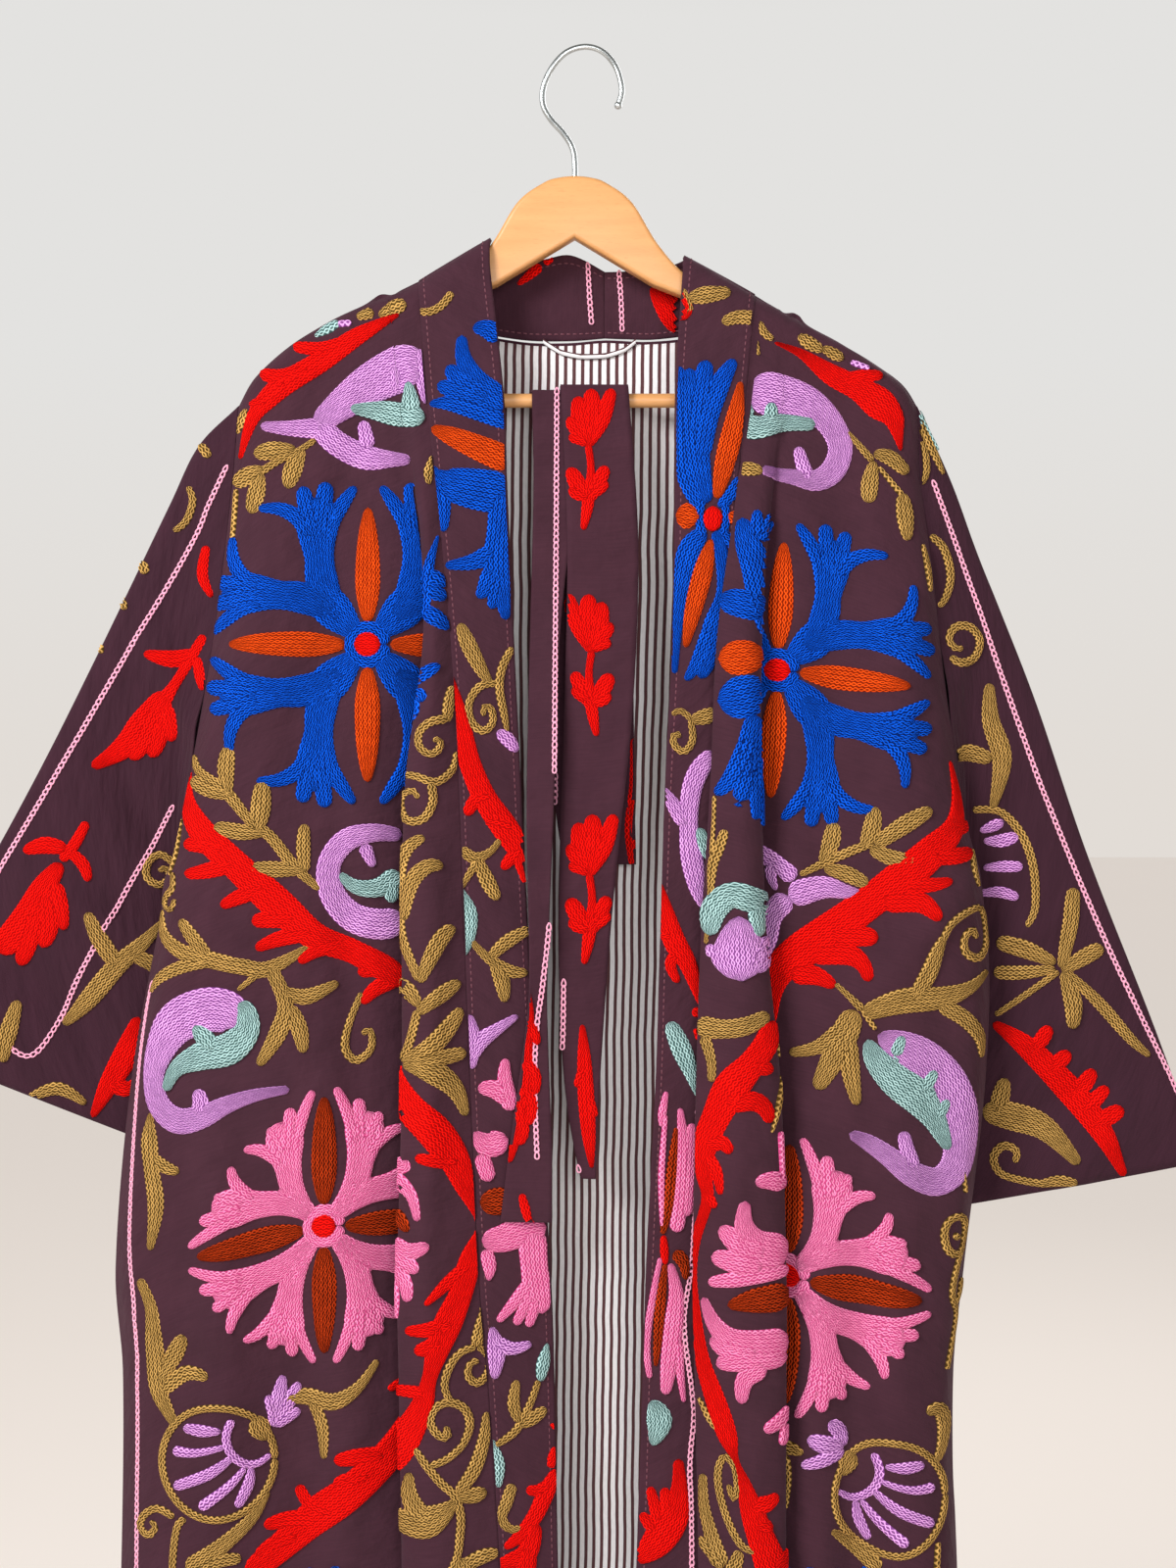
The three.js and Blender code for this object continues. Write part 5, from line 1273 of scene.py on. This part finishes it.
ridge_right += flat("red", [(786, 1040, 22), (780, 1060, 26), (766, 1080, 28), (745, 1105, 34),
    (730, 1135, 28), (719, 1165, 24), (718, 1195, 16), (721, 1220, 12), (710, 1262, 9), (707, 1300, 8),
    (711, 1345, 10), (717, 1385, 15), (730, 1425, 21), (741, 1458, 20), (749, 1482, 7), (757, 1505, 14),
    (766, 1535, 24), (776, 1565, 28), (790, 1604, 36)], [(765, 1081, 20), (786, 1090, 13)],
    [(740, 1120, 24), (765, 1119, 20), (778, 1127, 17), (783, 1142, 10)], [(720, 1163, 20),
    (737, 1162, 16), (743, 1172, 10)], [(720, 1176, 16), (730, 1192, 13), (734, 1214, 6)],
    [(721, 1214, 12), (729, 1228, 8)], [(765, 1530, 22), (783, 1525, 17), (790, 1517, 10)],
    [(770, 1546, 22), (786, 1553, 12)], [(788, 1592, 26), (806, 1585, 17), (824, 1573, 8)])
ridge_right += flat("pink", [(758, 1219, 11), (757, 1244, 20), (770, 1265, 34), (802, 1276, 40)],
    [(734, 1246, 15), (752, 1262, 24), (778, 1272, 26)], [(725, 1277, 15), (750, 1281, 24),
    (775, 1286, 24)], [(722, 1304, 10), (750, 1298, 16), (802, 1292, 14)], [(768, 1201, 11),
    (785, 1200, 19), (800, 1206, 20)], [(717, 1319, 7), (728, 1345, 17), (750, 1362, 27),
    (802, 1366, 34)], [(724, 1360, 13), (745, 1371, 24), (770, 1374, 24)], [(730, 1386, 13),
    (755, 1380, 24), (800, 1380, 20)], [(755, 1424, 11), (758, 1400, 19), (778, 1386, 24)],
    [(777, 1452, 12), (790, 1446, 15), (806, 1434, 16)], [(796, 1470, 9), (801, 1450, 15)],
    [(794, 1152, 6), (796, 1200, 5)])
ridge_right += flat("rust", [(741, 1325, 8), (765, 1320, 24), (803, 1318, 32)])
band_right = flat("olive", [(738, 325, 10), (755, 319, 15), (778, 321, 16)], [(698, 289, 6),
    (705, 308, 8), (700, 320, 5)], [(703, 300, 10), (720, 296, 19), (747, 293, 11)], [(733, 727, 14),
    (720, 731, 17), (705, 735, 10)], [(706, 734, 7), (695, 725, 7), (686, 729, 6)], [(705, 734, 7),
    (707, 755, 8), (698, 767, 8), (688, 759, 8), (689, 748, 7), (695, 752, 6)])
band_right += flat("blue", [(694, 370, 11), (697, 420, 18), (700, 480, 20), (716, 516, 15)],
    [(704, 372, 14), (707, 420, 26), (712, 470, 28), (722, 512, 14)], [(722, 364, 15), (716, 400, 24),
    (711, 440, 24)], [(751, 363, 10), (735, 390, 22), (722, 425, 24), (715, 465, 22)], [(756, 485, 10),
    (745, 505, 13), (734, 516, 10)], [(733, 540, 10), (748, 552, 14), (755, 560, 14)], [(720, 540, 14),
    (704, 560, 24), (695, 600, 18), (691, 640, 12), (689, 687, 6)], [(731, 540, 12), (738, 570, 15),
    (740, 605, 18), (731, 640, 28), (722, 672, 22), (715, 692, 10)], [(728, 640, 22), (712, 676, 15),
    (700, 694, 7)], [(716, 507, 12), (714, 528, 9), (718, 548, 12)], [(740, 510, 9), (742, 528, 8),
    (738, 546, 10)])
band_right += flat("orange", [(757, 386, 6), (750, 430, 21), (740, 472, 21), (732, 507, 9)],
    [(690, 524, 24), (703, 525, 28), (716, 526, 9)], [(742, 524, 8), (751, 527, 17), (756, 528, 14)],
    [(727, 549, 6), (718, 580, 21), (708, 620, 19), (700, 660, 6)])
band_right += raised("red", [(728, 515, 12), (728, 527, 20), (727, 541, 12)])
band_right += flat("lilac", [(730, 768, 17), (715, 784, 21), (706, 806, 21), (703, 840, 19),
    (706, 875, 23), (713, 906, 20), (721, 928, 10)], [(676, 802, 4), (688, 822, 15), (700, 842, 17)])
band_right += raised("mint", [(712, 845, 8), (720, 862, 18), (724, 878, 8)])
band_right += flat("red", [(674, 902, 4), (680, 930, 15), (688, 960, 23), (700, 980, 19), (708, 1000, 15),
    (717, 1027, 8)], [(685, 955, 16), (674, 957, 10)], [(690, 975, 16), (684, 985, 12), (692, 1003, 8)],
    [(706, 1032, 10), (716, 1035, 12)], [(709, 1050, 5), (712, 1062, 4)], [(692, 1490, 10),
    (693, 1520, 17), (687, 1550, 32), (670, 1575, 32), (649, 1594, 12)], [(681, 1542, 15),
    (678, 1519, 10)], [(672, 1552, 15), (663, 1518, 9)], [(668, 1562, 17), (654, 1545, 9)])
band_right += flat("mint", [(683, 1043, 14), (695, 1070, 21), (705, 1095, 15), (713, 1120, 6)],
    [(665, 1430, 12), (673, 1451, 27), (666, 1476, 8)])
band_right += flat("pink", [(680, 1114, 5), (676, 1135, 9), (675, 1150, 5)], [(694, 1131, 6),
    (697, 1170, 13), (695, 1220, 15), (690, 1258, 16)], [(706, 1147, 10), (704, 1190, 17),
    (700, 1242, 15)], [(679, 1138, 5), (675, 1200, 7), (676, 1252, 5)], [(674, 1284, 5), (667, 1320, 7),
    (660, 1370, 8), (663, 1407, 6)], [(684, 1290, 7), (690, 1320, 15), (688, 1350, 20), (683, 1392, 18),
    (679, 1424, 10)], [(692, 1370, 11), (694, 1400, 9), (698, 1432, 5)])
band_right += flat("rust", [(690, 1151, 5), (686, 1190, 11), (682, 1230, 11), (676, 1260, 6)],
    [(688, 1278, 14), (698, 1290, 13), (700, 1307, 6)], [(679, 1290, 5), (674, 1330, 11), (671, 1370, 9),
    (669, 1395, 4)])
band_right += flat("red", [(677, 1261, 6), (678, 1278, 9), (679, 1291, 5)])

# Sleeves: parts of the same pattern, cut off by the armhole, the fold and the cuff.
sleeve_left = flat("red", [(222, 612, 6), (212, 590, 12), (216, 560, 9)], [(214, 650, 10), (200, 672, 12),
    (183, 700, 11), (170, 718, 20)], [(203, 668, 12), (180, 674, 18), (152, 668, 8)], [(206, 672, 10),
    (209, 690, 12), (213, 706, 7)], [(175, 708, 22), (152, 740, 34), (130, 762, 24), (97, 783, 9)],
    [(165, 722, 24), (150, 755, 22), (136, 775, 12)], [(170, 722, 22), (163, 755, 20), (156, 773, 12)],
    [(172, 720, 22), (176, 742, 18), (178, 757, 12)], [(92, 838, 9), (80, 860, 12), (66, 878, 10)],
    [(72, 866, 12), (50, 862, 18), (28, 868, 9)], [(74, 868, 10), (88, 882, 13), (93, 899, 8)],
    [(66, 880, 12), (50, 905, 26), (30, 940, 34), (0, 970, 24)], [(52, 912, 22), (52, 945, 22),
    (46, 966, 12)], [(60, 900, 18), (66, 925, 18), (68, 948, 10)], [(40, 930, 22), (30, 965, 20),
    (22, 984, 12)], [(94, 1140, 6), (110, 1108, 20), (128, 1075, 26), (140, 1038, 10)], [(112, 1105, 18),
    (130, 1112, 16), (142, 1100, 9)])
sleeve_left += flat("olive", [(209, 458, 10), (219, 471, 10)], [(197, 500, 6), (202, 515, 8),
    (195, 535, 8), (182, 545, 6)], [(150, 575, 9), (153, 588, 12)], [(128, 610, 7), (132, 624, 9)],
    [(106, 655, 6), (108, 668, 7)], [(178, 882, 8), (163, 872, 8), (151, 880, 8), (150, 895, 8),
    (162, 903, 8), (172, 895, 8), (168, 886, 7), (161, 889, 6)], [(64, 1046, 8), (92, 1018, 20),
    (120, 985, 20), (148, 960, 14), (165, 940, 6)], [(120, 985, 16), (104, 958, 19), (92, 930, 9)],
    [(136, 975, 14), (156, 985, 16), (176, 1010, 10)], [(20, 1020, 10), (12, 1052, 18), (6, 1082, 10)],
    [(30, 1120, 8), (60, 1110, 14), (88, 1126, 7)])
sleeve_right = flat("olive", [(906, 382, 4), (918, 398, 7), (930, 425, 10), (945, 460, 9), (958, 488, 4)],
    [(926, 433, 6), (934, 460, 15), (936, 485, 17), (933, 500, 8)], [(944, 550, 8), (958, 563, 9),
    (965, 590, 9), (960, 612, 8), (952, 622, 6)], [(964, 672, 8), (975, 678, 9), (990, 672, 9),
    (995, 655, 9), (985, 642, 9), (970, 642, 9), (963, 654, 8), (970, 664, 7), (977, 662, 6)],
    [(1006, 698, 10), (1008, 735, 18), (1020, 775, 20), (1012, 825, 8)], [(1010, 775, 14), (985, 768, 18),
    (970, 775, 9)], [(992, 826, 8), (1020, 828, 8), (1040, 850, 9), (1052, 885, 9), (1054, 925, 8),
    (1045, 945, 6)], [(1092, 905, 14), (1088, 945, 17), (1081, 987, 10)], [(1122, 965, 15),
    (1102, 976, 17), (1081, 990, 10)], [(1016, 960, 16), (1045, 968, 19), (1075, 982, 10)],
    [(1014, 992, 14), (1040, 992, 15), (1075, 988, 9)], [(1016, 1036, 6), (1045, 1015, 7),
    (1078, 990, 7)], [(1092, 1048, 14), (1091, 1020, 19), (1083, 990, 10)], [(1084, 990, 9),
    (1120, 1024, 13), (1150, 1058, 11), (1170, 1076, 6)], [(1004, 1134, 22), (1035, 1140, 30),
    (1067, 1152, 25), (1099, 1186, 10)], [(1026, 1100, 12), (1022, 1120, 19), (1018, 1136, 16)],
    [(1098, 1206, 8), (1080, 1204, 12), (1062, 1208, 8)], [(1068, 1208, 8), (1045, 1205, 8),
    (1022, 1198, 8), (1015, 1182, 9), (1025, 1170, 9), (1038, 1175, 8), (1036, 1187, 7)])
sleeve_right += flat("lilac", [(1000, 848, 6), (1015, 842, 13), (1024, 838, 7)], [(1004, 858, 6),
    (1022, 858, 14), (1038, 852, 10)], [(1004, 886, 6), (1024, 884, 12), (1042, 884, 10)],
    [(1000, 912, 6), (1020, 910, 12), (1038, 916, 9)])
sleeve_right += flat("mint", [(932, 424, 4), (941, 442, 7), (952, 464, 4)])
sleeve_right += flat("red", [(1014, 1044, 8), (1045, 1066, 22), (1073, 1093, 26), (1100, 1122, 28),
    (1122, 1154, 22), (1145, 1198, 8)], [(1068, 1045, 13), (1060, 1060, 17), (1048, 1074, 10)],
    [(1090, 1072, 13), (1080, 1082, 17), (1068, 1094, 10)], [(1115, 1090, 13), (1106, 1106, 18),
    (1092, 1120, 10)], [(1129, 1108, 10), (1116, 1122, 15), (1104, 1134, 10)], [(1143, 1129, 13),
    (1128, 1138, 17), (1112, 1150, 10)])

# The sash's pattern: a column of tulips on one half, one serrated leaf along the other.
belt_pattern = (tulip(600, 391, 1.0) + tulip(604, 603, 1.0, -1) + tulip(601, 829, 1.05) + flat("red",
    [(594, 1046, 5), (596, 1080, 14), (598, 1120, 17), (601, 1160, 14), (604, 1192, 4)], [(596, 1090, 12),
    (588, 1110, 8)], [(600, 1120, 12), (608, 1140, 7)]))
belt_pattern += flat("red", [(537, 998, 3), (539, 1030, 12), (534, 1065, 20), (531, 1100, 27),
    (526, 1140, 24), (520, 1182, 7)], [(538, 1040, 10), (545, 1052, 12), (549, 1064, 7)],
    [(535, 1040, 10), (530, 1048, 11), (528, 1060, 6)], [(536, 1080, 16), (547, 1096, 12),
    (546, 1114, 8)], [(535, 1105, 16), (543, 1125, 14), (540, 1144, 9)], [(530, 1120, 14),
    (535, 1150, 12), (530, 1164, 8)], [(533, 1213, 7), (537, 1228, 10), (541, 1240, 7), (549, 1246, 4)])
belt_back = flat("red", [(648, 752, 8), (650, 800, 14), (646, 850, 16), (650, 900, 8)], [(655, 770, 8),
    (660, 800, 10)])
neck_pattern = flat("red", [(528, 291, 4), (538, 283, 9), (552, 271, 12)], [(555, 269, 9), (564, 263, 9)],
    [(664, 294, 5), (674, 305, 20), (686, 318, 30), (698, 338, 24)], [(676, 300, 10), (690, 298, 10)],
    [(679, 262, 7), (694, 262, 14), (708, 270, 12)])

# The back and the rear of the sleeves carry the same pattern as the fronts, laid out evenly:
# two outer columns of rosettes, vines and paisleys, and a middle column between them.
back_unit = 0.66
middle_column = (
    rosette(579, 660, 0.44, "blue", "orange", broad_fingers) + moved(left_vine, 330, 80)
    + moved(left_sprig, 345, 190) + rosette(579, 1300, 0.78, "pink", "rust", slim_fingers, spindle_width=30)
    + moved(left_paisley, 440, 470) + moved(left_tulip, 250, 230) + turned(left_branch, 430, -560))
back_column = moved(panel_left + hem_left, -10, 20)
back_pattern = back_column + turned(back_column, 579) + middle_column + moved(middle_column, 0, 1120)


def edge_of(front, column, inset=0.0):
    return lambda z: read(front, column, "z", z) + inset


left_side, left_fold = edge_of(left_front, "side", 1.5), edge_of(left_front, "pleat")
left_seam, left_free = edge_of(left_front, "seam", -1.2), edge_of(left_front, "free", -0.6)
right_side, right_fold = edge_of(right_front, "side", -1.5), edge_of(right_front, "pleat")
right_turn, right_free = edge_of(right_front, "turn"), edge_of(right_front, "free", 0.6)
panel_region_left = region(fronts["left"], front_unit, left_side, left_fold)
ridge_region_left = region(fronts["left"], front_unit, left_fold, left_seam)
band_region_left = region(bands["left"], front_unit, lambda z: left_seam(z) + 1.6, left_free)
panel_region_right = region(fronts["right"], front_unit, right_fold, right_side)
ridge_region_right = region(fronts["right"], front_unit, right_turn, right_fold)
band_region_right = region(bands["right"], front_unit, right_free, right_turn)
sleeve_region_left = region(sleeves["left"], sleeve_unit, joined=True)
sleeve_region_right = region(sleeves["right"], sleeve_unit, joined=True)
belt_region = region(belt_surface, belt_unit)
neck_region_left, neck_region_right = region(bands["left"], neck_unit), region(bands["right"], neck_unit)
embroider("embroidery_front_left", [(panel_region_left,
    panel_left + shoulder_left + hem_left), (ridge_region_left,
    ridge_left + lower_vine + shoulder_left + hem_left)])
embroider("embroidery_band_left", [(band_region_left, band_left + band_hem),
    (neck_region_left, neck_pattern[:2])], band_thick / 2)
embroider("embroidery_front_right", [(panel_region_right,
    panel_right + shoulder_right + hem_right), (ridge_region_right,
    ridge_right + shoulder_right + hem_right)])
embroider("embroidery_band_right", [(band_region_right,
    band_right + turned(band_hem, 615)), (neck_region_right, neck_pattern[2:])], band_thick / 2)
embroider("embroidery_sleeve_left", [(sleeve_region_left, sleeve_left)])
embroider("embroidery_sleeve_right", [(sleeve_region_right, sleeve_right)])
back_inner = 9.0
back_region = region(back_surface, back_unit, edge_of(left_front, "side", back_inner),
                     edge_of(right_front, "side", -back_inner), side=1)
embroider("embroidery_back", [(back_region, back_pattern)])
for name, hand in (("left", -1), ("right", 1)):
    rear = region(sleeves[name], sleeve_unit, side=1, joined=True)
    pattern = sleeve_left if hand < 0 else sleeve_right
    embroider("embroidery_sleeve_rear_" + name, [(rear, pattern)])
embroider("embroidery_sash", [(belt_region, belt_pattern), (belt_region, belt_back)],
    0.75)
chain("chain_line_front_left", [(panel_region_left, [(150, 1005), (144, 1036),
    (137, 1100), (131, 1215), (130, 1280), (135, 1333), (138, 1400), (138, 1485), (137, 1600),
    (137, 2100)])])
chain("chain_line_band_right", [(region(bands["right"], front_unit), [(712, 1125),
    (711, 1200), (706, 1290), (698, 1350), (706, 1420), (708, 1450), (704, 1500), (706, 1600),
    (706, 2100)]), (neck_region_right, [(632, 275), (634, 305), (635, 338)]), (neck_region_right,
    [(698, 271), (706, 273), (713, 276)])], band_thick / 2)
chain("chain_line_band_left", [(neck_region_left, [(599, 268), (601, 300),
    (604, 336)])], band_thick / 2)
chain("chain_line_sleeve_left", [
    (sleeve_region_left, [(237, 480), (218, 520), (200, 560), (130, 675), (62, 790), (0, 894), (-60, 1000)]),
    (sleeve_region_left, [(178, 822), (140, 890), (90, 980), (40, 1072), (0, 1056), (-60, 1020)])])
chain("chain_line_sleeve_right", [(sleeve_region_right, [(947, 495), (982, 590),
    (1018, 690), (1066, 820), (1118, 945), (1158, 1030), (1190, 1096), (1222, 1176)])])
chain("chain_line_sash", [(belt_region, [(568, 392), (567, 600), (566, 800), (562, 920),
    (554, 1000), (548, 1045), (546, 1100), (549, 1180)]), (belt_region, [(575, 1000), (574, 1060),
    (572, 1100), (580, 1150), (592, 1198)])], 0.75)
